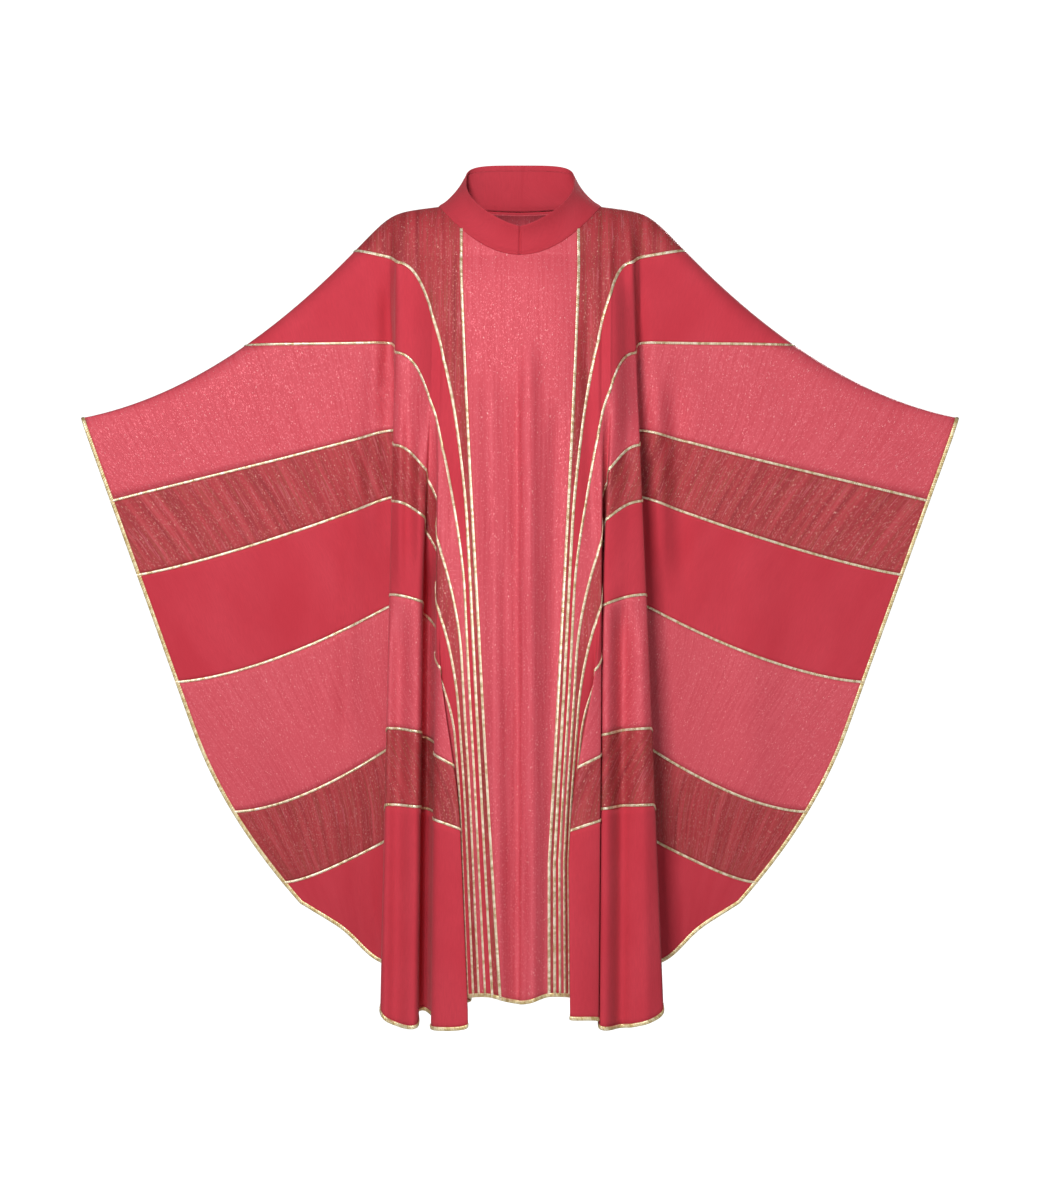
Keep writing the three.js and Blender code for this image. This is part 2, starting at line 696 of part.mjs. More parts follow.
function shoulderBand(side, band) {
  const front = bandRails(side, -1, band);
  const back = bandRails(side, 1, band).slice(0, -1).reverse();
  return stripSolid(orient([...front, ...back]), -BAND_HALF_WIDTH, BAND_HALF_WIDTH, BAND, false);
}

// Turns every cross direction of a chain so that the strip's outer face is on the cloth's outer face.
function orient(chain) {
  return chain.map((entry, i) => {
    const before = chain[Math.max(0, i - 1)].point;
    const after = chain[Math.min(chain.length - 1, i + 1)].point;
    const along = after.clone().sub(before).normalize();
    const facing = entry.across.clone().cross(along).dot(entry.normal);
    return { ...entry, across: entry.across.clone().multiplyScalar(facing > 0 ? 1 : -1) };
  });
}

// ---- Free edge ----
function edgeStations(side) {
  const { lines } = sideLines(side, -1);
  const feet = lines.map((line) => line[0][0]);
  const centre = CENTRE_SHARES.map((share) => centreKnot(side, feet[0], share, hem(feet[0])));
  const outline = hemStations(side, lines[LAST_PANEL]).map(([u]) => u);
  const stations = [...centre, ...feet, ...outline].map((u) => [u, hem(u)]);
  for (let panel = BANDS.length - 1; panel >= FIRST_OPEN_PANEL; panel -= 1) {
    const low = BANDS[panel + 1] ? -BANDS[panel + 1].edge * LENGTH : CORNER_Z;
    const high = -BANDS[panel].edge * LENGTH;
    for (let cell = 1; cell <= PANEL_CELLS[panel]; cell += 1) {
      stations.push([wingKnot(1), mix(low, high, cell / PANEL_CELLS[panel])]);
    }
  }
  stations.push([wingKnot(1), TIP_Z]);
  return stations;
}

function edgeChain() {
  const [left, right] = SIDES;
  const leg = (side, sheet) => edgeStations(side).map(([u, z]) => ({
    point: drape(side, sheet, u, z),
    normal: surfaceNormal(side, sheet, Math.min(u, wingKnot(0.995)), z),
  }));
  const frontRight = leg(right, -1);
  const backRight = leg(right, 1).reverse().slice(1);
  const backLeft = leg(left, 1).slice(1);
  const frontLeft = leg(left, -1).reverse().slice(1, -1);
  frontRight.at(-1).normal = ridgeNormal(right, HALF_SPAN - 1);
  backLeft.at(-1).normal = ridgeNormal(left, HALF_SPAN - 1);
  const chain = [...frontRight, ...backRight, ...backLeft, ...frontLeft];
  return chain.map((entry, i) => {
    const before = chain[(i + chain.length - 1) % chain.length].point;
    const after = chain[(i + 1) % chain.length].point;
    const along = after.clone().sub(before).normalize();
    return { ...entry, across: entry.normal.clone().cross(along).normalize() };
  });
}

// ---- Collar ----
const COLLAR_ROWS = 4;

// Turns of the collar whose feet fall on the corners of the cloth round the neck.
function collarTurns() {
  const seam = SEAM_TOP / NECK_HALF_WIDTH;
  const shares = [0, 0.25, 0.5, 0.75, 1].map((share) => share * seam);
  const quarter = [...shares, mix(seam, 1, 0.5)].map((share) => Math.asin(share));
  const toSide = (turn) => Math.PI - turn;
  const halfTurn = [...quarter, Math.PI / 2, ...quarter.map(toSide).reverse()];
  return [...halfTurn, ...halfTurn.slice(1, -1).reverse().map((turn) => -turn)];
}

const COLLAR_TURNS = collarTurns();

function collarPoint(turn, share) {
  const cosine = Math.cos(turn);
  const sheet = cosine > 0 ? -1 : 1;
  const side = SIDES[Math.sin(turn) < 0 ? 0 : 1];
  const seamAt = NECK_HALF_WIDTH * Math.abs(Math.sin(turn));
  const z = neckSeam(seamAt, sheet);
  const foot = drape(side, sheet, knotAtX(side, seamAt, z), Math.min(z, ridge(seamAt)));
  foot.z = z + GAP;
  const lift = sheet < 0 ? COLLAR_FRONT_TOP - COLLAR_SIDE_TOP : COLLAR_BACK_TOP - COLLAR_SIDE_TOP;
  const reach = sheet < 0 ? COLLAR_TOP_FRONT : COLLAR_TOP_BACK;
  const head = new THREE.Vector3(
    COLLAR_TOP_HALF_WIDTH * Math.sin(turn),
    -reach * cosine,
    COLLAR_SIDE_TOP + lift * cosine * cosine,
  );
  const point = foot.lerp(head, share);
  const waist = COLLAR_WAIST * Math.sin(Math.PI * share);
  point.x -= waist * Math.sin(turn);
  point.y += waist * cosine;
  return point;
}

function collarSheet(inside, outside, fromShare) {
  const points = [];
  for (const turn of COLLAR_TURNS) {
    for (let row = 0; row <= COLLAR_ROWS; row += 1) {
      points.push(collarPoint(turn, mix(fromShare, 1, row / COLLAR_ROWS)));
    }
  }
  const columns = COLLAR_ROWS + 1;
  const segments = COLLAR_TURNS.length;
  const at = (i, b) => (i % segments) * columns + b;
  return thicken(points, gridQuads(segments + 1, columns, at, true), inside, outside);
}

// ---- Centre panels ----
const CENTRE_SHARES = [0, 0.25, 0.5, 0.75];

function centrePanel(sheet) {
  const sides = SIDES.map((side) => sideLines(side, sheet));
  const count = sides[0].rails[0].length;
  const middleZ = (i) => (sides[0].lines[0][i][1] + sides[1].lines[0][i][1]) / 2;
  const rows = [];
  for (let i = 0; i < count; i += 1) {
    const [leftHalf, rightHalf] = SIDES.map((side, index) => {
      const { lines, rails } = sides[index];
      const edge = rails[0][i].point.clone().addScaledVector(rails[0][i].across, SEAM_INSET);
      const [u, z] = lines[0][i];
      const inner = CENTRE_SHARES.map((share) => {
        const height = bowedHeight(mix(middleZ(i), z, share), sheet, share);
        return drape(side, sheet, centreKnot(side, u, share, height), height);
      });
      return [...inner, edge];
    });
    rows.push([...leftHalf.reverse(), ...rightHalf.slice(1)]);
  }
  for (const point of rows[0]) point.z += EDGE_INSET;
  const columns = rows[0].length;
  const quads = gridQuads(count, columns, (i, b) => i * columns + b, sheet > 0);
  return thicken(rows.flat(), quads, -half, half);
}

function centreKnot(side, u, share, z) {
  return knotAtX(side, drapeX(side, u, z) * share, z);
}

// Rows of the centre panel bow down to follow the neck seam, more the nearer they are to it.
function bowedHeight(z, sheet, share) {
  const turnZ = -BANDS[1].turn * LENGTH;
  const seamZ = neckSeam(SEAM_TOP - SEAM_INSET, sheet);
  const climbed = clamp((z - turnZ) / (seamZ - turnZ), 0, 1);
  return z + (neckSeam(SEAM_TOP * share, sheet) - seamZ) * climbed ** 4;
}

// ---- Assembly ----
const FINISHES = {
  plain: { color: 0xb52f3c, roughness: 0.85, metalness: 0 },
  glitter: { color: 0xd65562, roughness: 0.7, metalness: 0.05 },
  streaked: { color: 0x9c3038, roughness: 0.75, metalness: 0.05 },
  collar: { color: 0xc43a46, roughness: 0.85, metalness: 0 },
  gold: { color: 0xc9ab72, roughness: 0.45, metalness: 0.6 },
  canvas: { color: 0xe6ddc8, roughness: 0.95, metalness: 0 },
};
const PANEL_FINISHES = [
  'streaked', 'plain', 'glitter', 'streaked', 'plain', 'glitter', 'streaked', 'plain',
];

const chasuble = new THREE.Group();

function add(name, geometry, finish) {
  const mesh = new THREE.Mesh(geometry, new THREE.MeshStandardMaterial(FINISHES[finish]));
  mesh.name = name;
  chasuble.add(mesh);
}

const SHEETS = [['front', -1], ['back', 1]];

for (const side of SIDES) {
  PANEL_NAMES.forEach((panelName, panel) => {
    if (panel < FIRST_OPEN_PANEL) {
      add(`${side.name}_${panelName}`, shoulderPanel(side, panel), PANEL_FINISHES[panel]);
      return;
    }
    for (const [sheetName, sheet] of SHEETS) {
      const name = `${side.name}_${sheetName}_${panelName}`;
      add(name, openPanel(side, sheet, panel), PANEL_FINISHES[panel]);
    }
  });
  for (let band = 0; band < BANDS.length; band += 1) {
    if (SHOULDER_BANDS.includes(band)) {
      add(`${side.name}_band_${band}`, shoulderBand(side, band), 'gold');
    } else {
      for (const [sheetName, sheet] of SHEETS) {
        add(`${side.name}_${sheetName}_band_${band}`, bandSolid(side, sheet, band), 'gold');
      }
    }
  }
}
for (const [sheetName, sheet] of SHEETS) add(`centre_${sheetName}_panel`, centrePanel(sheet), 'glitter');
add('edge_binding', stripSolid(edgeChain(), 0, BINDING_WIDTH, BINDING, true), 'gold');

const COLLAR_PITCH = CLOTH + GAP;
add('collar_outer', collarSheet(-half, half, 0), 'collar');
const collarLayer = (depth) => collarSheet(-half - depth, half - depth, LINING_START);
add('collar_interlining', collarLayer(COLLAR_PITCH), 'canvas');
add('collar_facing', collarLayer(2 * COLLAR_PITCH), 'collar');

export default chasuble;
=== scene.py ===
# %% [markdown]
# # A chasuble in curved, pieced cloth
# A chasuble is the outer garment of a priest: a wide sleeveless cape with a hole for the head. This one
# is pieced from curved panels of three red cloths, with a gold braid laid over every seam, a bound
# edge and a stand-up collar. It is shown worn, with both wings held out.
#
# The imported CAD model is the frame: it gives the place and the size of every piece. Here each of its
# plain solids is replaced by real cloth.

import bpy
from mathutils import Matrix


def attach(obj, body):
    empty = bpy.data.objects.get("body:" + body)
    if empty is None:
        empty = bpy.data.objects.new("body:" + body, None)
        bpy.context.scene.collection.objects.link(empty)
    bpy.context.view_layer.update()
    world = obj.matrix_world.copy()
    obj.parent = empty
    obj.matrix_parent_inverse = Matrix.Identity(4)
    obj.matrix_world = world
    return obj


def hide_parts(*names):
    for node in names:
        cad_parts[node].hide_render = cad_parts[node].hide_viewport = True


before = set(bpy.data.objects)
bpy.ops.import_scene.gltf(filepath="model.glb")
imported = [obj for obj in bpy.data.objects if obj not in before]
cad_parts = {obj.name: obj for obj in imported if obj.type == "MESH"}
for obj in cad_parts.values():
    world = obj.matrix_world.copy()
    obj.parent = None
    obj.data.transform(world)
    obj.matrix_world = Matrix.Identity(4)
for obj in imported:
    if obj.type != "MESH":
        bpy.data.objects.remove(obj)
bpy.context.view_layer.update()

import math

import bpy
import numpy as np

MM = 0.001

# %% [markdown]
# ## The drape as a formula
# Hanging cloth is nearly a ruled surface: from the chest down, its folds keep their place and grow
# deeper. So the plan of the folds is drawn once as a chain of knots that depends on the height, and
# every panel, braid and edge reads its points from that one surface. A cloth simulation would find
# folds of its own, and they would not be these folds. The sizes below are in millimetres. Most are
# the CAD model's own, but the folds beside the centre panel and the rises of the hem go further here.

# %% Sizes of the garment
HALF_SPAN, LENGTH, TIP_DROP = 702, 1295, 338
SHOULDER_X, SHOULDER_SLOPE, ARM_SLOPE, SHOULDER_ROUND = 208, 0.12, 1.14, 12
EDGE_SLANT, EDGE_CURL_START, EDGE_CURL, CORNER_RISE = 0.36, 500, 0.00095, 182
NECK_HALF_WIDTH, NECK_FRONT_DROP, NECK_BACK_DROP = 130, 86, 6
CHEST_DEPTH, HEM_DEPTH, DEPTH_REACH, BACK_SHARE = 100, 205, 350, 0.9
CHEST_ROUND, BACK_ROUND, WING_ROUND = 150, 70, 45
WING_ROOT_DEPTH, WING_TIP_DEPTH, WING_RIPPLE, WING_HEM_WAVE = 50, 12, 4, 6
SEAM_TOP, SEAM_START, SEAM_BEND, PITCH_TOP, VALLEY_PITCH = 93, 0.08, 1.15, 7, 9
GAP_DEPTH, VALLEY_DEPTH, WALL_SET, SWELL, SIDE_SET_BACK = 52, 42, 4, 10, 0.3
STRIP_SLANT = 27  # how far the strips beside the centre panel lean back at the hem
FOLD_KNOT, FOLD_REACH = 4.6, 1.1  # where the hem of the inner fold lifts, and over how many knots
FOLDED, VALLEY, WRAPPED = (0.2, 0.5), (0.5, 0.76), (0.1, 0.3)  # shares of the length they form over
HEM_RISES = np.array([43, 54, 47, 36, 5, 0, 12, 22, 1, 2, 20, 55, 87])
CLOTH = 0.6  # thickness of one layer

SIDES = {
    "left": dict(name="left", sign=-1, seam_hem=29, seam_end=0.98, pitch_hem=12,
                 inner=(125, 138), outer=(191, 218), gap_open=20, fold_lift=0, lap=12),
    "right": dict(name="right", sign=1, seam_hem=45, seam_end=0.8, pitch_hem=9.5,
                  inner=(133, 121), outer=(173, 224), gap_open=1, fold_lift=17, lap=19),
}
SHEETS = {"front": -1, "back": 1}

# Each band's heights are shares of LENGTH below the neck: where its strip turns, the side of the
# body, the wing root, and its end on the shoulder line or on the wing edge.
BANDS = [
    None,
    dict(turn=0.402, side=0.074, root=0.066, ridge_x=265),
    dict(turn=0.48, side=0.185, root=0.17, ridge_x=440),
    dict(turn=0.563, side=0.298, root=0.275, edge=0.364, bend=1),
    dict(turn=0.62, side=0.366, root=0.357, edge=0.455, bend=1.2),
    dict(turn=0.652, side=0.479, root=0.491, edge=0.587, bend=1.5),
    dict(turn=0.784, side=0.64, root=0.667, edge=0.747, bend=1.7),
    dict(turn=0.83, side=0.732, root=0.78, edge=0.834, bend=1.7),
]
LAST_KNOT, WING_KNOTS = 12, 6
VALLEY_KNOT, OUTER_KNOT, OPEN_STRIPS = 3, 10, 5

# %% Small helpers for shapes
def mix(a, b, t):
    return a + (b - a) * t


def ease(low, high, value):
    t = np.clip((value - low) / (high - low), 0, 1)
    return t * t * (3 - 2 * t)


def down(z):
    return np.clip(-z / LENGTH, 0, 1)


def unit(vectors):
    return vectors / np.maximum(1e-9, np.linalg.norm(vectors, axis=-1, keepdims=True))


def path_length(points):
    """Length in metres of a line of points in millimetres."""
    return np.linalg.norm(np.diff(points, axis=0), axis=1).sum() * MM


def new_object(name, data):
    thing = bpy.data.objects.new(name, data)
    bpy.context.scene.collection.objects.link(thing)
    return thing


# %% [markdown]
# ## Outlines
# Three lines bound the surface: the shoulder line where the front passes into the back, the slanted
# edge of the wing, and the hem, which rises and falls with the folds.

# %% Shoulder line, wing edge and hem
def straight_ridge(x):
    corner = SHOULDER_ROUND * np.log(1 + np.exp((x - SHOULDER_X) / SHOULDER_ROUND))
    return -SHOULDER_SLOPE * (x - NECK_HALF_WIDTH) - (ARM_SLOPE - SHOULDER_SLOPE) * corner


RIDGE_LIFT = (-TIP_DROP - straight_ridge(HALF_SPAN)) / (HALF_SPAN - SHOULDER_X) ** 2


def ridge(x):
    return straight_ridge(x) + RIDGE_LIFT * np.maximum(0, x - SHOULDER_X) ** 2


TIP_Z, CORNER_Z, ROOT_SET = -TIP_DROP, CORNER_RISE - LENGTH, 14


def wing_edge_x(z):
    fall = TIP_Z - z
    return HALF_SPAN - EDGE_SLANT * fall - EDGE_CURL * np.maximum(0, fall - EDGE_CURL_START) ** 2


def wing_hem(w):
    wave = WING_HEM_WAVE * np.sin(2.5 * np.pi * w) * (1 - w)
    return -LENGTH + mix(HEM_RISES[-1], CORNER_RISE, w) - wave


HEM_SLOPES = np.gradient(HEM_RISES.astype(float))
HEM_SLOPES[0] = 0


def hem(side, u):
    """Height of the hem at a knot: a smooth curve through the rises, with the inner fold lifted."""
    inside = np.clip(u, 0, LAST_KNOT)
    i = np.minimum(inside.astype(int), LAST_KNOT - 1)
    t = inside - i
    low, high, slope, next_slope = HEM_RISES[i], HEM_RISES[i + 1], HEM_SLOPES[i], HEM_SLOPES[i + 1]
    rise = ((2 * t**3 - 3 * t**2 + 1) * low + (t**3 - 2 * t**2 + t) * slope
            + (3 * t**2 - 2 * t**3) * high + (t**3 - t**2) * next_slope)
    rise = rise + side["fold_lift"] * np.exp(-((inside - FOLD_KNOT) / FOLD_REACH) ** 2)
    return np.where(u > LAST_KNOT, wing_hem((u - LAST_KNOT) / WING_KNOTS), rise - LENGTH)


def wing_column(side, w, z):
    """The wing's threads fan out from its root to its edge."""
    top_x = mix(side["outer"][0] + ROOT_SET, HALF_SPAN, w)
    low_x = mix(side["outer"][1], wing_edge_x(CORNER_Z), w)
    share = (z - ridge(top_x)) / (wing_hem(w) - ridge(top_x))
    edge_share = (z - TIP_Z) / (CORNER_Z - TIP_Z)
    bow = wing_edge_x(z) - mix(HALF_SPAN, wing_edge_x(CORNER_Z), edge_share)
    return mix(top_x, low_x, share) + w * w * np.where(z < TIP_Z, bow, 0)


print("shoulder line at the neck, corner and tip:", 
      ridge(np.array([NECK_HALF_WIDTH, SHOULDER_X, HALF_SPAN], float)).round(1))

# %% [markdown]
# ## Folds
# One side of the front has a fold beside the centre panel, an inner fold, a deep gap and an outer
# fold, and then the wing. A centripetal spline runs through the knots, because an ordinary one
# overshoots where a fold turns back on itself. The result is kept as a table of plan points for
# every height, and a second one of lengths along the cloth.

# %% Plan of the folds
def seam_x(side, z):
    share = np.clip((down(z) - SEAM_START) / (side["seam_end"] - SEAM_START), 0, 1)
    return mix(SEAM_TOP, side["seam_hem"], share**SEAM_BEND)


def pitch_at(side, z):
    return mix(PITCH_TOP, side["pitch_hem"], down(z))


def strip_at(side, band, z):
    in_valley = max(0, band - OPEN_STRIPS)
    return seam_x(side, z) + (band - in_valley) * pitch_at(side, z) + in_valley * VALLEY_PITCH


def section(side, z):
    """The plan's knots from the middle out, for every height: offsets are in millimetres."""
    fall = down(z)
    swing = 1 - np.exp(np.minimum(0, z + NECK_FRONT_DROP) / DEPTH_REACH)
    depth = mix(CHEST_DEPTH, HEM_DEPTH, swing)
    folded, valley, wrapped = (ease(*span, fall) for span in (FOLDED, VALLEY, WRAPPED))
    inner_x, outer_x = mix(*side["inner"], fall), mix(*side["outer"], fall)
    last_strip = seam_x(side, z) + OPEN_STRIPS * pitch_at(side, z)
    wall_x = np.minimum(last_strip + WALL_SET, inner_x - 14)
    gap_x = inner_x + mix(15, 2 + side["gap_open"], folded)
    lap_x = mix(mix(wall_x + 8, inner_x, 0.6), wall_x - side["lap"], valley)
    gap_floor_x = inner_x + mix(10, 3 + side["gap_open"] * 0.85, folded)

    def hang(x):
        return -depth * (1 - SIDE_SET_BACK * (x / outer_x) ** 2)

    root_depth = WING_ROOT_DEPTH * (1 - SIDE_SET_BACK * fall)
    zero = 0 * z
    return np.array([
        # the centre panel and the strips beside it
        [zero, hang(zero)],
        [wall_x / 2, hang(wall_x / 2) + mix(SWELL * 0.5 * folded, -3, valley)],
        [wall_x, hang(wall_x) + STRIP_SLANT * valley],
        # the valley behind them and the inner fold, which laps over it
        [wall_x + mix(6, 20, valley), hang(wall_x) + (VALLEY_DEPTH + 8) * valley],
        [lap_x, hang(inner_x) - SWELL * 0.7 * folded],
        [inner_x, hang(inner_x) + SWELL * 0.3 * folded],
        # the gap
        [inner_x + mix(5, -7, folded), hang(inner_x) + GAP_DEPTH * 0.5 * folded],
        [gap_floor_x, hang(inner_x) + GAP_DEPTH * folded],
        # the outer fold
        [gap_x, hang(gap_x) + SWELL * folded],
        [mix(gap_x, outer_x, 0.55), hang(outer_x) - SWELL * folded],
        [outer_x, hang(outer_x) + SWELL * 0.5 * wrapped],
        # round the side to the wing's root
        [outer_x + mix(6, -9, wrapped), mix(hang(outer_x), -root_depth, 0.5)],
        [mix(wing_column(side, 0, z), outer_x - 2, wrapped), -root_depth],
    ])


# %% Spline through the knots, as tables over height
TABLE_TOP, TABLE_STEP, KNOT_STEPS = 24, 3, 40
HEIGHTS = np.arange(-LENGTH - 9, TABLE_TOP, TABLE_STEP, dtype=float)


def plan_table(knots):
    mirrored = knots[1] * np.array([[-1], [1]])
    run = [mirrored, *knots, 2 * knots[-1] - knots[-2]]
    columns = []
    for i in range(LAST_KNOT):
        points = run[i:i + 4]
        times = [0 * HEIGHTS]
        for here, there in zip(points, points[1:]):
            times.append(times[-1] + np.sqrt(np.hypot(*(there - here))))

        def blend(a, b, low, high):
            return mix(a, b, (time - times[low]) / (times[high] - times[low]))

        for step in range(KNOT_STEPS):
            time = mix(times[1], times[2], step / KNOT_STEPS)
            legs = [blend(points[k], points[k + 1], k, k + 1) for k in range(3)]
            bends = [blend(legs[k], legs[k + 1], k, k + 2) for k in range(2)]
            columns.append(blend(bends[0], bends[1], 1, 2))
    return np.array([*columns, knots[-1]])


for one_side in SIDES.values():
    plan = plan_table(section(one_side, HEIGHTS))
    steps = np.hypot(*np.moveaxis(np.diff(plan, axis=0), 1, 0))
    one_side["x"], one_side["y"] = plan[:, 0], plan[:, 1]
    one_side["arc"] = np.concatenate([0 * steps[:1], np.cumsum(steps, axis=0)])
    print(one_side["name"], "cloth round the body at the hem, mm:", one_side["arc"][-1, 5].round())


def lookup(table, u, z):
    a = np.clip(u * KNOT_STEPS, 0, table.shape[0] - 1.001)
    b = np.clip((z - HEIGHTS[0]) / TABLE_STEP, 0, table.shape[1] - 1.001)
    i, j = a.astype(int), b.astype(int)
    fa, fb = a - i, b - j
    near = mix(table[i, j], table[i + 1, j], fa)
    return mix(near, mix(table[i, j + 1], table[i + 1, j + 1], fa), fb)


# %% [markdown]
# ## Small pleats
# Over the big folds lie softer ones: swells down the centre panel, pleats under the shoulder
# where the arm lifts the cloth, and a slight unevenness everywhere. Each pleat is a ridge with a
# place, a width and a height, which fades out at both ends.

# %% Pleats and unevenness
# side, x at its top and bottom, top and bottom height, half width, height of the ridge
PLEATS = [
    ("left", 48, 30, -230, -1290, 17, 9),
    ("left", 4, 6, -260, -1290, 10, -6),
    ("left", 25, 17, -520, -1290, 8, -3),
    ("right", 14, 20, -200, -1290, 13, 9),
    ("right", 58, 40, -300, -1290, 14, -6),
    ("left", 187, 188, -300, -640, 9, 9),
    ("left", 158, 157, -340, -620, 8, 7),
    ("left", 147, 149, -40, -160, 6, 5),
    ("left", 209, 207, -90, -380, 15, -15),
    ("right", 182, 188, -90, -400, 15, -15),
    ("right", 150, 152, -90, -420, 13, 7),
    ("left", 228, 236, -190, -560, 14, 9),
    ("right", 216, 226, -260, -620, 13, 12),
    ("right", 245, 262, -240, -640, 14, -8),
    ("left", 262, 280, -330, -900, 16, -7),
    ("left", 96, 101, -150, -560, 13, -6),
    ("right", 104, 112, -150, -560, 13, -6),
    ("left", 141, 149, -540, -1290, 9, -26),
    ("left", 186, 192, -620, -1290, 14, -8),
    ("left", 204, 212, -620, -1290, 10, 6),
    ("right", 138, 134, -600, -1290, 11, 4),
    ("right", 160, 156, -600, -1290, 12, -18),
    ("right", 190, 196, -640, -1290, 14, 8),
    ("right", 380, 360, -420, -1000, 40, 6),
    ("left", 400, 380, -420, -1000, 44, 6),
]
WAVES = [(0.021, 0.004, 0.5), (0.043, 0.013, 2.1), (0.012, 0.027, 4.0), (0.067, 0.02, 1.2)]
UNEVEN = 0.9  # height of the general unevenness
HEM_PLEAT = -1250  # a pleat that reaches below this runs out through the hem
PLEAT_FADE = 90  # height over which a pleat fades in and out


def pleat_depth(side, x, z):
    depth = 0 * x
    for name, top_x, low_x, top, bottom, width, height in PLEATS:
        if name != side["name"]:
            continue
        centre = mix(top_x, low_x, np.clip((z - top) / (bottom - top), 0, 1))
        reaches_hem = bottom < HEM_PLEAT
        fade_out = 1 if reaches_hem else ease(bottom, bottom + PLEAT_FADE, z)
        fade = ease(top, top - PLEAT_FADE, z) * fade_out
        depth += height * fade * np.exp(-(((x - centre) / width) ** 2))
    for across, along, phase in WAVES:
        depth += UNEVEN / 2 * np.sin(side["sign"] * x * across + z * along + phase)
    return depth


def drape_x(side, u, z):
    w = np.clip((u - LAST_KNOT) / WING_KNOTS, 0, 1)
    root = lookup(side["x"], 0 * u + LAST_KNOT, z)
    column = wing_column(side, w, z)
    tuck = root - wing_column(side, 0, z)
    wing = column + tuck * (1 - w) ** 3 * ease(0, WING_ROUND, ridge(column) - z)
    return np.where(u <= LAST_KNOT, lookup(side["x"], u, z), wing)


def drape_y(side, u, z):
    w = np.clip((u - LAST_KNOT) / WING_KNOTS, 0, 1)
    root = lookup(side["y"], 0 * u + LAST_KNOT, z)
    ripple = WING_RIPPLE * np.sin(5 * w + z / 130) * w * (1 - w)
    wing = mix(root, -WING_TIP_DEPTH, w**0.6) - ripple
    return np.where(u <= LAST_KNOT, lookup(side["y"], u, z), wing)


def drape(side, sheet, u, z):
    """Points of the draped cloth in millimetres. sheet is -1 in front and 1 behind."""
    u, z = np.broadcast_arrays(np.asarray(u, float), np.asarray(z, float))
    x = drape_x(side, u, z)
    y = drape_y(side, u, z) - pleat_depth(side, x, z)
    body_round = CHEST_ROUND if sheet < 0 else BACK_ROUND
    roundness = mix(body_round, WING_ROUND, ease(NECK_HALF_WIDTH, SHOULDER_X + 60, x))
    below = np.clip((ridge(x) - z) / roundness, 0, 1)
    roll = np.sqrt(1 - (1 - below) ** 2)
    reach = 1 if sheet < 0 else BACK_SHARE
    return np.stack([side["sign"] * x, -sheet * y * roll * reach, z], axis=-1)


# %% [markdown]
# ## Seam lines
# Every band starts as a narrow strip at the hem, climbs beside the centre panel, swings round the
# body as a quarter ellipse and crosses the wing as a shallow curve. All lines get the same number
# of stations, so a panel is simply the grid between two lines.

# %% Finding a place along the cloth
STRIP_ROWS, TURN_ROWS, BODY_ROWS, SIDE_ROWS, WING_ROWS = 56, 30, 112, 10, 46
ROWS = STRIP_ROWS + TURN_ROWS + BODY_ROWS + SIDE_ROWS + WING_ROWS + 1
WING_EDGE = LAST_KNOT + WING_KNOTS
HALVINGS, SETTLINGS, CORNER_ROUNDS = 30, 18, 5  # how often a search or a smoothing is repeated
HEM_START, HEM_CURVE = 1 / 7, 0.7  # how the hem panel's stations spread from the strip to the valley


def solve(measure, wanted, end):
    low, high = 0 * wanted, 0 * wanted + end
    for _ in range(HALVINGS):
        middle = (low + high) / 2
        short = measure(middle) < wanted
        low, high = np.where(short, middle, low), np.where(short, high, middle)
    return (low + high) / 2


def knot_at_arc(side, distance, z):
    return solve(lambda u: lookup(side["arc"], u, z), distance + 0 * z, LAST_KNOT)


def knot_at_x(side, x, z):
    return solve(lambda u: drape_x(side, u, z), x + 0 * z, WING_EDGE)


def on_ridge(side, x):
    z = ridge(x)
    root = side["outer"][0] + ROOT_SET
    on_wing = LAST_KNOT + WING_KNOTS * (x - root) / (HALF_SPAN - root)
    return np.where(x < root, knot_at_x(side, x, z), on_wing), z


def soften(line, rounds):
    """Rounds off the corners of a line of stations and keeps its ends."""
    for _ in range(rounds):
        line[1:-1] = (line[:-2] + 2 * line[1:-1] + line[2:]) / 4
    return line


# %% Lines of the bands
def strip_foot(side, band):
    z = np.array(-LENGTH + HEM_RISES[1], float)
    for _ in range(3):
        z = hem(side, knot_at_arc(side, strip_at(side, band, z), z))
    return z


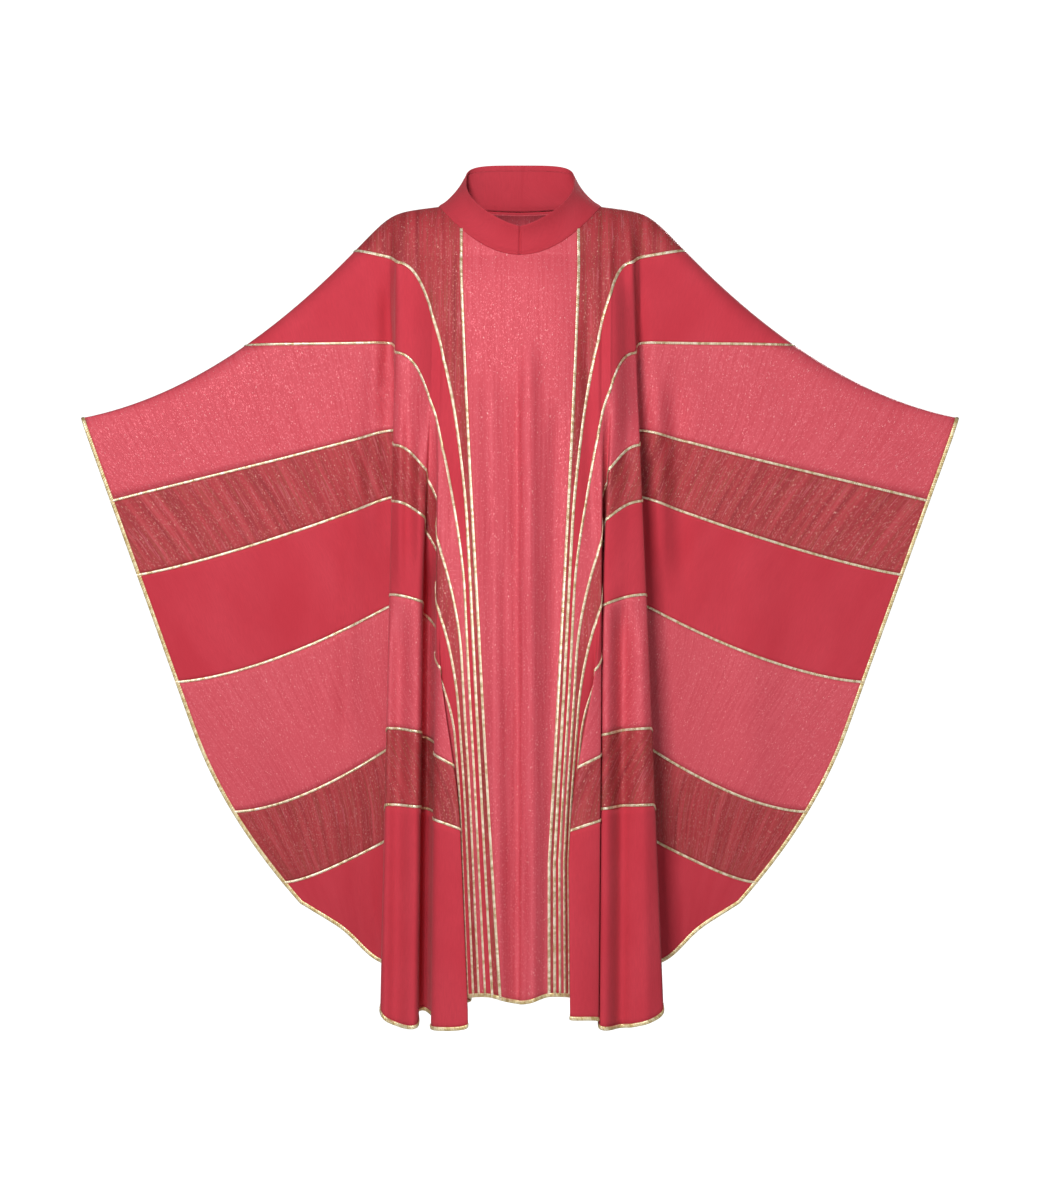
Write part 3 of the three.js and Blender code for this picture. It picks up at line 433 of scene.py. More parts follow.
def band_line(side, band):
    spec = BANDS[band]
    turn_z, side_z, root_z = (-spec[key] * LENGTH for key in ("turn", "side", "root"))
    strip_z = np.linspace(strip_foot(side, band), turn_z, STRIP_ROWS, endpoint=False)
    strip_u = knot_at_arc(side, strip_at(side, band, strip_z), strip_z)

    def rise(share):
        return mix(turn_z, side_z, np.sqrt(1 - (1 - np.clip(share, 0, 1)) ** 2))

    def settle(distance_at, count):
        """Finds the height and the way along the cloth together, as each depends on the other."""
        z = np.full(count, side_z)
        for _ in range(SETTLINGS):
            start = strip_at(side, band, z)
            span = lookup(side["arc"], 0 * z + OUTER_KNOT, z) - start
            z = mix(z, rise((distance_at(z) - start) / span), 0.5)
        return z

    def turn_arc(z):
        valley_arc = lookup(side["arc"], 0 * z + VALLEY_KNOT, z)
        return mix(strip_at(side, band, z), valley_arc, share)

    share = np.linspace(0, 1, TURN_ROWS, endpoint=False) ** 2
    turn = settle(turn_arc, TURN_ROWS)
    turn_u = knot_at_arc(side, turn_arc(turn), turn)
    body_u = np.linspace(VALLEY_KNOT, OUTER_KNOT, BODY_ROWS, endpoint=False)
    body_z = settle(lambda z: lookup(side["arc"], body_u, z), BODY_ROWS)
    side_u = np.linspace(OUTER_KNOT, LAST_KNOT, SIDE_ROWS, endpoint=False)
    side_line = mix(side_z, root_z, np.linspace(0, 1, SIDE_ROWS, endpoint=False))

    if "edge" in spec:
        end_u, end_z = WING_EDGE, -spec["edge"] * LENGTH
    else:
        end_u, end_z = on_ridge(side, np.array(float(spec["ridge_x"])))
    share = np.linspace(0, 1, WING_ROWS + 1)
    wing_z = mix(root_z, end_z, 1 - (1 - share) ** spec.get("bend", 1))
    u = np.concatenate([strip_u, turn_u, body_u, side_u, mix(LAST_KNOT, end_u, share)])
    z = np.concatenate([strip_z, turn, body_z, side_line, wing_z])
    return np.stack([u, soften(z, CORNER_ROUNDS)], axis=-1)


def neck_seam(x, sheet):
    drop = NECK_FRONT_DROP if sheet < 0 else NECK_BACK_DROP
    return -drop * (1 - (x / NECK_HALF_WIDTH) ** 2)


def centre_seam_line(side, sheet, beside):
    """The band on the centre seam climbs straight on to the neck."""
    turn_z = -BANDS[1]["turn"] * LENGTH
    top = neck_seam(SEAM_TOP, sheet)
    strip_z = np.linspace(strip_foot(side, 0), turn_z, STRIP_ROWS, endpoint=False)
    climbed = (beside[STRIP_ROWS:, 1] - turn_z) / (beside[-1, 1] - turn_z)
    climbed = np.maximum.accumulate(climbed)
    even = np.linspace(0, 1, len(climbed))
    z = np.concatenate([strip_z, mix(turn_z, top, mix(climbed, even, 0.5))])
    return np.stack([knot_at_arc(side, strip_at(side, 0, z), z), z], axis=-1)


def hem_line(side, band):
    first = STRIP_ROWS + TURN_ROWS
    reach = mix(HEM_START, 1, np.arange(first) / first) ** HEM_CURVE
    u = np.concatenate([mix(band[0, 0], VALLEY_KNOT, reach), band[first:, 0]])
    return np.stack([u, hem(side, u)], axis=-1)


LINES = {}
for one_side in SIDES.values():
    outer_lines = [band_line(one_side, band) for band in range(1, len(BANDS))]
    for sheet_name, sheet in SHEETS.items():
        seam = centre_seam_line(one_side, sheet, outer_lines[0])
        last = hem_line(one_side, outer_lines[-1])
        LINES[one_side["name"], sheet_name] = [seam, *outer_lines, last]
print("lines:", sum(map(len, LINES.values())), "with", ROWS, "stations each")

# %% [markdown]
# ## Finishes
# Three cloths are pieced together. The plain one is a matte wool blend. The second is woven with a
# pink metallic thread, so it glitters in fine points. The third has streaks of olive, gold and
# silvery thread along the warp. A cloth's pattern has to run along its threads, so the materials
# read each piece's own UV map, which is measured in metres along and across the cloth.

# %% Material helpers
def srgb(code):
    """Turns an sRGB hex value into the linear colour that a shader takes."""
    parts = [int(code[i:i + 2], 16) / 255 for i in (1, 3, 5)]
    return (*[p / 12.92 if p <= 0.04045 else ((p + 0.055) / 1.055) ** 2.4 for p in parts], 1)


def node(tree, kind, links=None, values=None, **settings):
    """Adds a node with its settings, its values by socket name or number, and its links."""
    new = tree.nodes.new(kind)
    for key, value in settings.items():
        setattr(new, key, value)
    for key, value in (values or {}).items():
        new.inputs[key].default_value = value
    for key, socket in (links or {}).items():
        tree.links.new(socket, new.inputs[key])
    return new


def calc(tree, operation, *inputs):
    """A Math node's result. Each input is a socket or a number."""
    new = node(tree, "ShaderNodeMath", operation=operation)
    for index, value in enumerate(inputs):
        if isinstance(value, (int, float)):
            new.inputs[index].default_value = value
        else:
            tree.links.new(value, new.inputs[index])
    return new.outputs[0]


def cloth_place(tree):
    return node(tree, "ShaderNodeUVMap", uv_map="Cloth").outputs["UV"]


def noise(tree, place, detail):
    return node(tree, "ShaderNodeTexNoise", {"Vector": place},
                {"Scale": 1.0, "Detail": detail, "Roughness": 0.6}).outputs["Fac"]


def ramp(tree, fac, stops):
    """A colour ramp with stops of (place, hex colour)."""
    new = node(tree, "ShaderNodeValToRGB", {"Fac": fac})
    stops_there = new.color_ramp.elements
    while len(stops_there) < len(stops):
        stops_there.new(0.5)
    for element, (place, code) in zip(stops_there, stops):
        element.position = place
        element.color = srgb(code)
    return new.outputs["Color"]


def new_material(name, view_colour):
    material = bpy.data.materials.new(name)
    material.use_nodes = True
    material.diffuse_color = srgb(view_colour)
    tree = material.node_tree
    tree.nodes.clear()
    return material, tree


def finish_surface(tree, colour, bump, values, links=None):
    shader = node(tree, "ShaderNodeBsdfPrincipled",
                  {"Base Color": colour, "Normal": bump, **(links or {})}, values)
    node(tree, "ShaderNodeOutputMaterial", {"Surface": shader.outputs["BSDF"]})


def threads(tree, across, along, detail=2, place=0):
    """Noise drawn out along the threads: so many grains to the metre across and along the cloth."""
    stretched = node(tree, "ShaderNodeMapping", {"Vector": cloth_place(tree)},
                     {"Scale": (across, along, 1), "Location": (place, place, place)})
    return noise(tree, stretched.outputs["Vector"], detail)


def weave(tree, pitch):
    """A plain weave: warp and weft humps at the thread spacing in metres."""
    turns = 2 * math.pi / pitch
    parts = node(tree, "ShaderNodeSeparateXYZ", {"Vector": cloth_place(tree)}).outputs
    warp, weft = (calc(tree, "SINE", calc(tree, "MULTIPLY", parts[axis], turns)) for axis in "XY")
    return calc(tree, "MULTIPLY_ADD", calc(tree, "MULTIPLY", warp, weft), 0.5, 0.5)


def flecks(tree, size, threshold):
    """Single points of metal thread: random cells of a size in metres above a threshold, and a random
    value per cell that sets how far its painted glint lightens it.
    """
    longer = node(tree, "ShaderNodeMapping", {"Vector": cloth_place(tree)}, {"Scale": (1, 0.6, 1)})
    cells = node(tree, "ShaderNodeTexVoronoi", {"Vector": longer.outputs["Vector"]},
                 {"Scale": 1 / size})
    parts = node(tree, "ShaderNodeSeparateColor", {"Color": cells.outputs["Color"]})
    spot = node(tree, "ShaderNodeMapRange", {"Value": parts.outputs["Red"]},
                {"From Min": threshold, "From Max": threshold + 0.06})
    return spot.outputs["Result"], parts.outputs["Green"]


def bump(tree, height, distance):
    return node(tree, "ShaderNodeBump", {"Height": height},
                {"Distance": distance, "Strength": 1.0}).outputs["Normal"]


def blend(tree, fac, a, b, kind="MIX"):
    new = node(tree, "ShaderNodeMix", {0: fac}, data_type="RGBA", blend_type=kind)
    for index, value in ((6, a), (7, b)):
        if isinstance(value, str):
            new.inputs[index].default_value = srgb(value)
        else:
            tree.links.new(value, new.inputs[index])
    return new.outputs[2]


# %% [markdown]
# Plain wool blend: a close matte weave. Its short fibres catch light at grazing angles, which is what
# sheen is for. The real thread spacing is about 0.4 mm. It is drawn at 1.2 mm so that it shows.

# %% Plain wool blend
WOOL_PITCH, METALLIC_PITCH = 0.0012, 0.0014  # spacing of the drawn threads in metres
FINE_RELIEF, COARSE_RELIEF = 0.00012, 0.0002


def wool_blend(name, dark, light, sheen):
    material, tree = new_material(name, light)
    slub = threads(tree, 520, 60, 3)
    cloud = threads(tree, 9, 5, 2, place=4)
    base = ramp(tree, cloud, [(0.3, dark), (0.7, light)])
    fibre = ramp(tree, slub, [(0.25, "#E2E2E2"), (0.75, "#FFFFFF")])
    colour = blend(tree, cloud, base, fibre, "MULTIPLY")
    height = calc(tree, "ADD", weave(tree, WOOL_PITCH), slub)
    finish_surface(tree, colour, bump(tree, height, FINE_RELIEF), {
        "Roughness": 0.88, "Sheen Weight": sheen, "Sheen Roughness": 0.45,
        "Sheen Tint": srgb("#FFB8B8"), "Specular IOR Level": 0.25})
    return material


# %% [markdown]
# Glitter cloth: pink metallic thread floats over a red ground. Each float is a tiny mirror at its own
# angle, so the light picks out single points. Random cells 1.1 mm wide give those points: each is a
# little more metallic and less rough, and is painted a paler colour by a random amount, partly the
# thread's own colour and partly a painted glint. The float of the streaked cloth is the same, so both
# cloths share it.

# %% Pink metallic cloth
FLECK_SIZE = 0.0011


def metallic_cloth(material, tree, ground, grain, relief, finish):
    """Lays flecks over a ground. finish holds what differs between the two metallic cloths."""
    fleck, fleck_glint_random = flecks(tree, FLECK_SIZE, finish["threshold"])
    # painted glints: each fleck's colour is lifted towards a paler one by its random value, partly the
    # metal thread's own colour and partly painted glint
    colour = blend(tree, fleck, ground, ramp(tree, fleck_glint_random, finish["flecks"]))
    (more_metal, metal), (less_rough, rough) = finish["metal"], finish["rough"]
    height = calc(tree, "ADD", weave(tree, METALLIC_PITCH), fleck_glint_random if grain is None else grain)
    finish_surface(tree, colour, bump(tree, height, relief), {
        "Sheen Weight": 0.1, "Sheen Roughness": 0.4, "Sheen Tint": srgb(finish["sheen"])},
        {"Metallic": calc(tree, "MULTIPLY_ADD", fleck, more_metal, metal),
         "Roughness": calc(tree, "MULTIPLY_ADD", fleck, less_rough, rough)})
    return material


def glitter_cloth():
    material, tree = new_material("pink_metallic_cloth", "#D65562")
    streak = threads(tree, 260, 7, 3)
    ground = ramp(tree, streak, [(0.3, "#C23D4B"), (0.5, "#C94754"), (0.72, "#CE505D")])
    # fleck colours: the pink of the metal thread, painted paler on the brightest cells as glints
    return metallic_cloth(material, tree, ground, None, FINE_RELIEF, dict(
        threshold=0.84, metal=(0.25, 0.05), rough=(-0.2, 0.68), sheen="#FFC4C8",
        flecks=[(0.0, "#CF525F"), (0.7, "#D5626D"), (0.93, "#DA727A"), (1.0, "#E49696")]))


# %% [markdown]
# Streaked cloth: a darker red ground with uneven groups of olive, gold and silvery warp threads.
# Noise that is drawn out twenty to forty times along the warp gives groups about 13 mm wide and
# single threads of 2 to 3 mm.

# %% Streaked cloth
def streaked_cloth():
    material, tree = new_material("streaked_metallic_cloth", "#B04048")
    groups = threads(tree, 75, 3.5, 2, place=2)
    single = threads(tree, 420, 10, 3)
    fine = threads(tree, 330, 14, 2, place=9)
    colour = ramp(tree, groups, [(0.28, "#8F2029"), (0.45, "#A22A32"), (0.6, "#B0333B"),
                                 (0.75, "#BE454D")])
    for grains, low, high, code in ((single, 0.52, 0.66, "#983F35"), (fine, 0.58, 0.7, "#B9525A")):
        picked = ramp(tree, grains, [(low, "#000000"), (high, "#FFFFFF")])
        colour = blend(tree, picked, colour, code)
    # fleck colours: the colour of the metal thread, painted paler on the brightest cells as glints
    return metallic_cloth(material, tree, colour, single, COARSE_RELIEF, dict(
        threshold=0.88, metal=(0.35, 0.1), rough=(-0.3, 0.66), sheen="#F0B8A8",
        flecks=[(0.0, "#AC5548"), (0.6, "#B85F62"), (0.93, "#C27A72"), (1.0, "#D6A090")]))


# %% [markdown]
# Gold braid: a flat cord wound with metal foil. The foil reflects like metal, but the winding breaks
# the reflection into short glints. A slanted wave gives the turns of the winding, 1.8 mm apart, as
# bumps, and with patches of noise it paints the glints into the colour: pale cream painted highlights
# over the foil's gold, brown painted shade between them. Each length of braid has a random shift of its
# own, so that no two glint alike.

# %% Gold braid, binding, canvas and thread
WAVE_TURNS = 0.314  # wave scale that gives one turn to the metre
WINDING_SLANT, SHIFT_REACH = 0.6, 97.0


def wound_foil(name, dark, middle, light, metallic, roughness, turn):
    material, tree = new_material(name, light)
    place = cloth_place(tree)
    slanted = node(tree, "ShaderNodeMapping", {"Vector": place}, {"Rotation": (0, 0, WINDING_SLANT)})
    winding = node(tree, "ShaderNodeTexWave", {"Vector": slanted.outputs["Vector"]},
                   {"Scale": WAVE_TURNS / turn, "Distortion": 0.6, "Detail": 1.0},
                   bands_direction="X").outputs["Fac"]
    own = node(tree, "ShaderNodeObjectInfo").outputs["Random"]
    shift = node(tree, "ShaderNodeCombineXYZ", {"Z": calc(tree, "MULTIPLY", own, SHIFT_REACH)})
    glint_patch_place = node(tree, "ShaderNodeMapping", {"Vector": place, "Location": shift.outputs[0]},
                   {"Scale": (90, 150, 1)})
    glint_patches = noise(tree, glint_patch_place.outputs["Vector"], 3.0)
    # painted highlight and shade: the winding and the glint patches make the foil's colour run from
    # painted brown shade to painted pale cream highlight
    painted_glint_tone = calc(tree, "ADD", calc(tree, "MULTIPLY_ADD", winding, 0.22, -0.11), glint_patches)
    colour = ramp(tree, painted_glint_tone, [(0.32, dark), (0.48, middle), (0.62, light)])
    finish_surface(tree, colour, bump(tree, winding, COARSE_RELIEF), {
        "Metallic": metallic, "Roughness": roughness})
    return material


def canvas_cloth():
    material, tree = new_material("stiff_canvas", "#E6DDC8")
    slub = threads(tree, 300, 90, 3)
    colour = ramp(tree, slub, [(0.3, "#D8CDB4"), (0.7, "#EAE2CF")])
    relief = bump(tree, weave(tree, WOOL_PITCH), COARSE_RELIEF)
    finish_surface(tree, colour, relief, {"Roughness": 0.95})
    return material


def sewing_thread(name, dark, light):
    material, tree = new_material(name, light)
    place = node(tree, "ShaderNodeTexCoord").outputs["Object"]
    twist = node(tree, "ShaderNodeTexNoise", {"Vector": place}, {"Scale": 900.0}).outputs["Fac"]
    colour = ramp(tree, twist, [(0.35, dark), (0.65, light)])
    finish_surface(tree, colour, bump(tree, twist, 0.0001), {"Roughness": 0.6})
    return material


CLOTHS = {
    "plain": wool_blend("plain_wool_blend", "#BC3240", "#C83D4B", 0.14),
    "glitter": glitter_cloth(),
    "streaked": streaked_cloth(),
    "collar": wool_blend("collar_wool_blend", "#B5303D", "#BF3946", 0.14),
    "canvas": canvas_cloth(),
}
# the brown is painted shade of the turned foil and the pale cream its painted highlight; the middle
# colour is the foil's own gold
BRAID = wound_foil("gold_foil_braid", "#AC8A5C", "#E0CAA2", "#FFF6E2", 0.5, 0.4, 0.0018)
BINDING = wound_foil("cream_gold_binding", "#BD9F62", "#E0C98E", "#F8EDC6", 0.45, 0.42, 0.0022)
RED_THREAD = sewing_thread("red_sewing_thread", "#9A2430", "#C23C48")
GOLD_THREAD = sewing_thread("gold_sewing_thread", "#B08A4C", "#E8CF94")
print("cloths:", [material.name for material in CLOTHS.values()])

# %% [markdown]
# ## Turning grids into cloth
# A panel is a grid of points with a UV for each. The faces have to point outwards, so the winding is
# chosen by comparing the mean face direction with the side that the sheet is on. Solidify then gives
# the cloth its thickness inwards.

# %% Grid to mesh
def grid_faces(rows, columns, wrap=False):
    steps = rows if wrap else rows - 1
    i, b = np.meshgrid(np.arange(steps), np.arange(columns - 1), indexing="ij")
    here, there = i * columns, (i + 1) % rows * columns
    return np.stack([here + b, here + b + 1, there + b + 1, there + b], axis=-1).reshape(-1, 4)


def face_directions(points, faces):
    p = points[faces]
    return np.cross(p[:, 2] - p[:, 0], p[:, 3] - p[:, 1])


def turned_out(points, faces, sheet):
    """The faces of a sheet with their fronts to the outside."""
    return faces[:, ::-1] if face_directions(points, faces)[:, 1].sum() * sheet < 0 else faces


def cloth_mesh(name, points, uvs, faces, material):
    mesh = bpy.data.meshes.new(name)
    mesh.from_pydata((points * MM).tolist(), [], faces.tolist())
    layer = mesh.uv_layers.new(name="Cloth")
    loops = np.empty(len(mesh.loops), int)
    mesh.loops.foreach_get("vertex_index", loops)
    layer.data.foreach_set("uv", (uvs[loops] * MM).ravel())
    mesh.polygons.foreach_set("use_smooth", np.ones(len(mesh.polygons), bool))
    mesh.materials.append(material)
    return new_object(name, mesh)


def plain_copy(piece):
    """Replaces a piece's mesh by what its modifiers make of it, and removes them."""
    evaluated = piece.evaluated_get(bpy.context.evaluated_depsgraph_get())
    mesh = bpy.data.meshes.new_from_object(evaluated)
    mesh.name = piece.name
    piece.modifiers.clear()
    piece.data = mesh
    return piece


def weld(piece, distance):
    joined = piece.modifiers.new("weld", "WELD")
    joined.merge_threshold = distance * MM
    return plain_copy(piece)


def thicken(piece, thickness):
    solid = piece.modifiers.new("thickness", "SOLIDIFY")
    solid.thickness, solid.offset = thickness * MM, -1
    solid.use_rim = True
    return plain_copy(piece)


def sheet_area(points, faces):
    return np.linalg.norm(face_directions(points, faces), axis=1).sum() / 2 * MM * MM


FLAT_SIZES = {}


def declare_cloth(piece, node_name, slot, area, along):
    """Says what a sheet was cut from: its length along its middle, and its mean breadth."""
    breadth = area / along
    FLAT_SIZES[piece.name] = (round(breadth, 3), round(along, 3))
    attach(piece, "root")
    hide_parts(node_name)


# %% [markdown]
# ## Braid and stitches by Geometry Nodes
# A braid follows a path, so Geometry Nodes sweep it: a flat oval profile goes along the seam, and its
# flat side is turned to the cloth by a facing direction that every point of the path carries. The
# stitches are one small thread shape, set out along a path at an even spacing. Both trees end in real
# geometry, because the finished model can't hold instances.

# %% A tree for swept braid
PROFILE_POINTS = 12
STITCH_WANDER = 0.12  # the most that a stitch turns out of line, in radians about each axis


def new_tree(name, sizes):
    """An empty tree that takes geometry, some sizes and a material, and what it is given."""
    tree = bpy.data.node_groups.new(name, "GeometryNodeTree")
    inputs = [("Geometry", "Geometry"), *((size, "Float") for size in sizes), ("Material", "Material")]
    for label, kind in inputs:
        tree.interface.new_socket(label, in_out="INPUT", socket_type="NodeSocket" + kind)
    tree.interface.new_socket("Geometry", in_out="OUTPUT", socket_type="NodeSocketGeometry")
    return tree, node(tree, "NodeGroupInput").outputs


def stored(tree, geometry, name, value, kind, domain="POINT"):
    return node(tree, "GeometryNodeStoreNamedAttribute", {"Geometry": geometry, "Value": value},
                {"Name": name}, data_type=kind, domain=domain).outputs[0]


def recalled(tree, name, kind="FLOAT"):
    return node(tree, "GeometryNodeInputNamedAttribute", values={"Name": name},
                data_type=kind).outputs["Attribute"]


def scaled(tree, geometry, x, y, z):
    """Geometry stretched by sizes that are sockets. A z of None leaves the height alone."""
    sizes = {"X": x, "Y": y, **({"Z": z} if z else {})}
    size = node(tree, "ShaderNodeCombineXYZ", sizes, None if z else {"Z": 1.0})
    return node(tree, "GeometryNodeTransform",
                {"Geometry": geometry, "Scale": size.outputs[0]}).outputs[0]


def path_curve(tree, given):
    """The path as a curve whose normals are the stored facing directions."""
    curve = node(tree, "GeometryNodeMeshToCurve", {"Mesh": given["Geometry"]})
    facing = recalled(tree, "facing", "FLOAT_VECTOR")
    turned = node(tree, "GeometryNodeSetCurveNormal",
                  {"Curve": curve.outputs["Curve"], "Normal": facing}, mode="FREE")
    return turned.outputs["Curve"]


def end_tree(tree, geometry, material):
    real = node(tree, "GeometryNodeRealizeInstances", {"Geometry": geometry}).outputs[0]
    painted = node(tree, "GeometryNodeSetMaterial", {"Geometry": real, "Material": material})
    node(tree, "NodeGroupOutput", {"Geometry": painted.outputs[0]})


def braid_tree():
    tree, given = new_tree("braid", ["Width", "Thickness"])
    length = node(tree, "GeometryNodeSplineParameter").outputs["Length"]
    path = stored(tree, path_curve(tree, given), "run", length, "FLOAT")
    circle = node(tree, "GeometryNodeCurvePrimitiveCircle",
                  values={"Resolution": PROFILE_POINTS, "Radius": 0.5})
    oval = scaled(tree, circle.outputs[0], given["Thickness"], given["Width"], None)
    around = node(tree, "GeometryNodeSplineParameter").outputs["Factor"]
    profile = stored(tree, oval, "round", around, "FLOAT")
    swept = node(tree, "GeometryNodeCurveToMesh", {"Curve": path, "Profile Curve": profile},
                 {"Fill Caps": True})
    smooth = node(tree, "GeometryNodeSetShadeSmooth", {"Geometry": swept.outputs[0]})
    girth = calc(tree, "MULTIPLY", recalled(tree, "round"), given["Width"])
    place = node(tree, "ShaderNodeCombineXYZ", {"X": girth, "Y": recalled(tree, "run")})
    mapped = stored(tree, smooth.outputs[0], "Cloth", place.outputs[0], "FLOAT2", "CORNER")
    end_tree(tree, mapped, given["Material"])
    return tree


# %% A tree for rows of stitches
def stitch_tree():
    tree, given = new_tree("stitches", ["Spacing", "Length", "Thickness"])
    spaced = node(tree, "GeometryNodeResampleCurve", {
        "Curve": path_curve(tree, given), "Length": given["Spacing"]}, mode="LENGTH")
    ball = node(tree, "GeometryNodeMeshUVSphere", values={"Segments": 6, "Rings": 4, "Radius": 0.5})
    thick = given["Thickness"]
    stitch = scaled(tree, ball.outputs["Mesh"], given["Length"], thick, thick)
    smooth = node(tree, "GeometryNodeSetShadeSmooth", {"Geometry": stitch})
    tangent = node(tree, "GeometryNodeInputTangent")
    turned = node(tree, "FunctionNodeAlignRotationToVector", {"Vector": tangent.outputs[0]},
                  axis="X")
    wander = node(tree, "FunctionNodeRandomValue", values={"Seed": 7}, data_type="FLOAT_VECTOR")
    for index, sign in enumerate((-1, 1)):
        wander.inputs[index].default_value = (sign * STITCH_WANDER,) * 3
    askew = node(tree, "FunctionNodeRotateRotation", {
        "Rotation": turned.outputs[0], "Rotate By": wander.outputs[0]}, rotation_space="LOCAL")
    laid = node(tree, "GeometryNodeInstanceOnPoints", {
        "Points": spaced.outputs[0], "Instance": smooth.outputs[0],
        "Rotation": askew.outputs[0]})
    end_tree(tree, laid.outputs[0], given["Material"])
    return tree


BRAID_TREE, STITCH_TREE = braid_tree(), stitch_tree()


def follow(name, tree, paths, values):
    """Runs a tree along paths of (points, facing directions, closed), in millimetres."""
    points, facing, edges = [], [], []
    for line, normals, closed in paths:
        first, count = sum(map(len, points)), len(line)
        edges += [(first + i, first + i + 1) for i in range(count - 1)]
        edges += [(first + count - 1, first)] if closed else []
        points.append(line)
        facing.append(normals)
    mesh = bpy.data.meshes.new(name)
    mesh.from_pydata((np.concatenate(points) * MM).tolist(), edges, [])
    layer = mesh.attributes.new("facing", "FLOAT_VECTOR", "POINT")
    layer.data.foreach_set("vector", np.concatenate(facing).ravel())
    piece = new_object(name, mesh)
    nodes = piece.modifiers.new("nodes", "NODES")
    nodes.node_group = tree
    for socket in tree.interface.items_tree:
        if socket.in_out == "INPUT" and socket.name in values:
            nodes[socket.identifier] = values[socket.name]
    plain_copy(piece)
    print(name, "faces:", len(piece.data.polygons))
    return piece


def sweep_braid(name, path, width, thickness, material):
    return follow(name, BRAID_TREE, [path], {
        "Width": width * MM, "Thickness": thickness * MM, "Material": material})


# %% [markdown]
# ## Directions on the cloth
# The braid lies on the cloth, so it needs the outward direction at each station. Two short steps on
# the surface give it, as their cross product.

# %% Outward direction
KNOT_STEP = 0.03


def outward(side, sheet, u, z):
    back_u = np.clip(u - KNOT_STEP, 0, WING_EDGE)
    front_u = np.clip(u + KNOT_STEP, 0, WING_EDGE)
    across = drape(side, sheet, front_u, z) - drape(side, sheet, back_u, z)
    upwards = drape(side, sheet, u, z + 1) - drape(side, sheet, u, z - 1)
    return unit(np.cross(across, upwards) * -side["sign"] * sheet)


def ridge_facing(side, x):
    slope = ridge(x + 1) - ridge(x - 1)
    return unit(np.array([-side["sign"] * float(slope), 0, 2]))


def smooth_facing(normals, rounds=3):
    return unit(soften(normals.copy(), rounds))


# %% [markdown]
# ## Braid over the seams
# The real braid is sewn over each seam and hides it. It is 4.6 mm wide on the two bands nearest the
# middle, 4 mm on the others, and stands up about a millimetre. Two of the bands run over the
# shoulder in one length. The first ends at the neck and the others at the edge of the wing.

# %% Bands
BAND_WIDTH, STRIP_BAND_WIDTH, BAND_THICKNESS, BAND_LIFT = 4.6, 4.0, 1.5, 0.45
WIDE_BANDS, SHOULDER_BANDS = (0, 1), (1, 2)


def band_path(side, sheet_name, band):
    sheet = SHEETS[sheet_name]
    line = LINES[side["name"], sheet_name][band]
    points = drape(side, sheet, line[:, 0], line[:, 1])
    facing = outward(side, sheet, line[:, 0], line[:, 1])
    if band in SHOULDER_BANDS:
        facing[-1] = ridge_facing(side, abs(points[-1, 0]))
    return points, smooth_facing(facing)


EDGE_ROWS = []
for side_name, one_side in SIDES.items():
    for band in range(len(BANDS)):
        halves = {name: band_path(one_side, name, band) for name in SHEETS}
        if band in SHOULDER_BANDS:
            (front, front_facing), (back, back_facing) = halves["front"], halves["back"]
            joined = [(f"{side_name}_band_{band}", np.concatenate([front, back[-2::-1]]),
                       np.concatenate([front_facing, back_facing[-2::-1]]))]
        else:
            joined = [(f"{side_name}_{name}_band_{band}", *halves[name]) for name in SHEETS]
        width = BAND_WIDTH if band in WIDE_BANDS else STRIP_BAND_WIDTH
        for node_name, points, facing in joined:
            facing = smooth_facing(facing, 2)
            path = (points + facing * BAND_LIFT, facing, False)
            braid = sweep_braid(node_name + "_braid", path, width, BAND_THICKNESS, BRAID)
            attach(braid, "root")
            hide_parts(node_name)
            EDGE_ROWS.append((side_name, points, facing))

# %% [markdown]
# ## Panels
# A panel fills the grid between two neighbouring lines. The yoke is laid out in millimetres across,
# because its two lines don't share their knots. The first three panels run over the shoulder, so
# their last rows are pulled over to the shoulder line, and front and back are joined there.

# %% Grids of the side panels
PANELS = ["yoke", "upper_plain", "upper_glitter", "upper_streaked", "middle_plain",
          "lower_glitter", "lower_streaked", "hem_plain"]
FINISHES = ["streaked", "plain", "glitter", "streaked", "plain", "glitter", "streaked", "plain"]
COLUMNS = [32, 21, 24, 16, 22, 20, 20, 24]
FIRST_OPEN = 3  # the panels before this one run over the shoulder
END_PULL = 5  # how late the last rows turn to the shoulder line
WELD_REACH = 0.02


def end_line(side, sheet, panel, share):
    """The outer end of a panel that runs over the shoulder."""
    if panel == 0:
        neck_x = mix(SEAM_TOP, NECK_HALF_WIDTH, np.clip(share * 2, 0, 1))
        x = mix(neck_x, BANDS[1]["ridge_x"], np.clip(share * 2 - 1, 0, 1))
        return np.stack([x, np.where(share <= 0.5, neck_seam(x, sheet), ridge(x))], axis=-1)
    start = BANDS[panel]["ridge_x"]
    if panel == 1:
        return np.stack(on_ridge(side, mix(start, BANDS[2]["ridge_x"], share)), axis=-1)
    x = mix(start, HALF_SPAN, np.clip(share * 1.5, 0, 1))
    u, z = on_ridge(side, x)
    fallen = mix(TIP_Z, -BANDS[3]["edge"] * LENGTH, np.clip(share * 3 - 2, 0, 1))
    return np.stack([u, np.where(share > 2 / 3, fallen, z)], axis=-1)


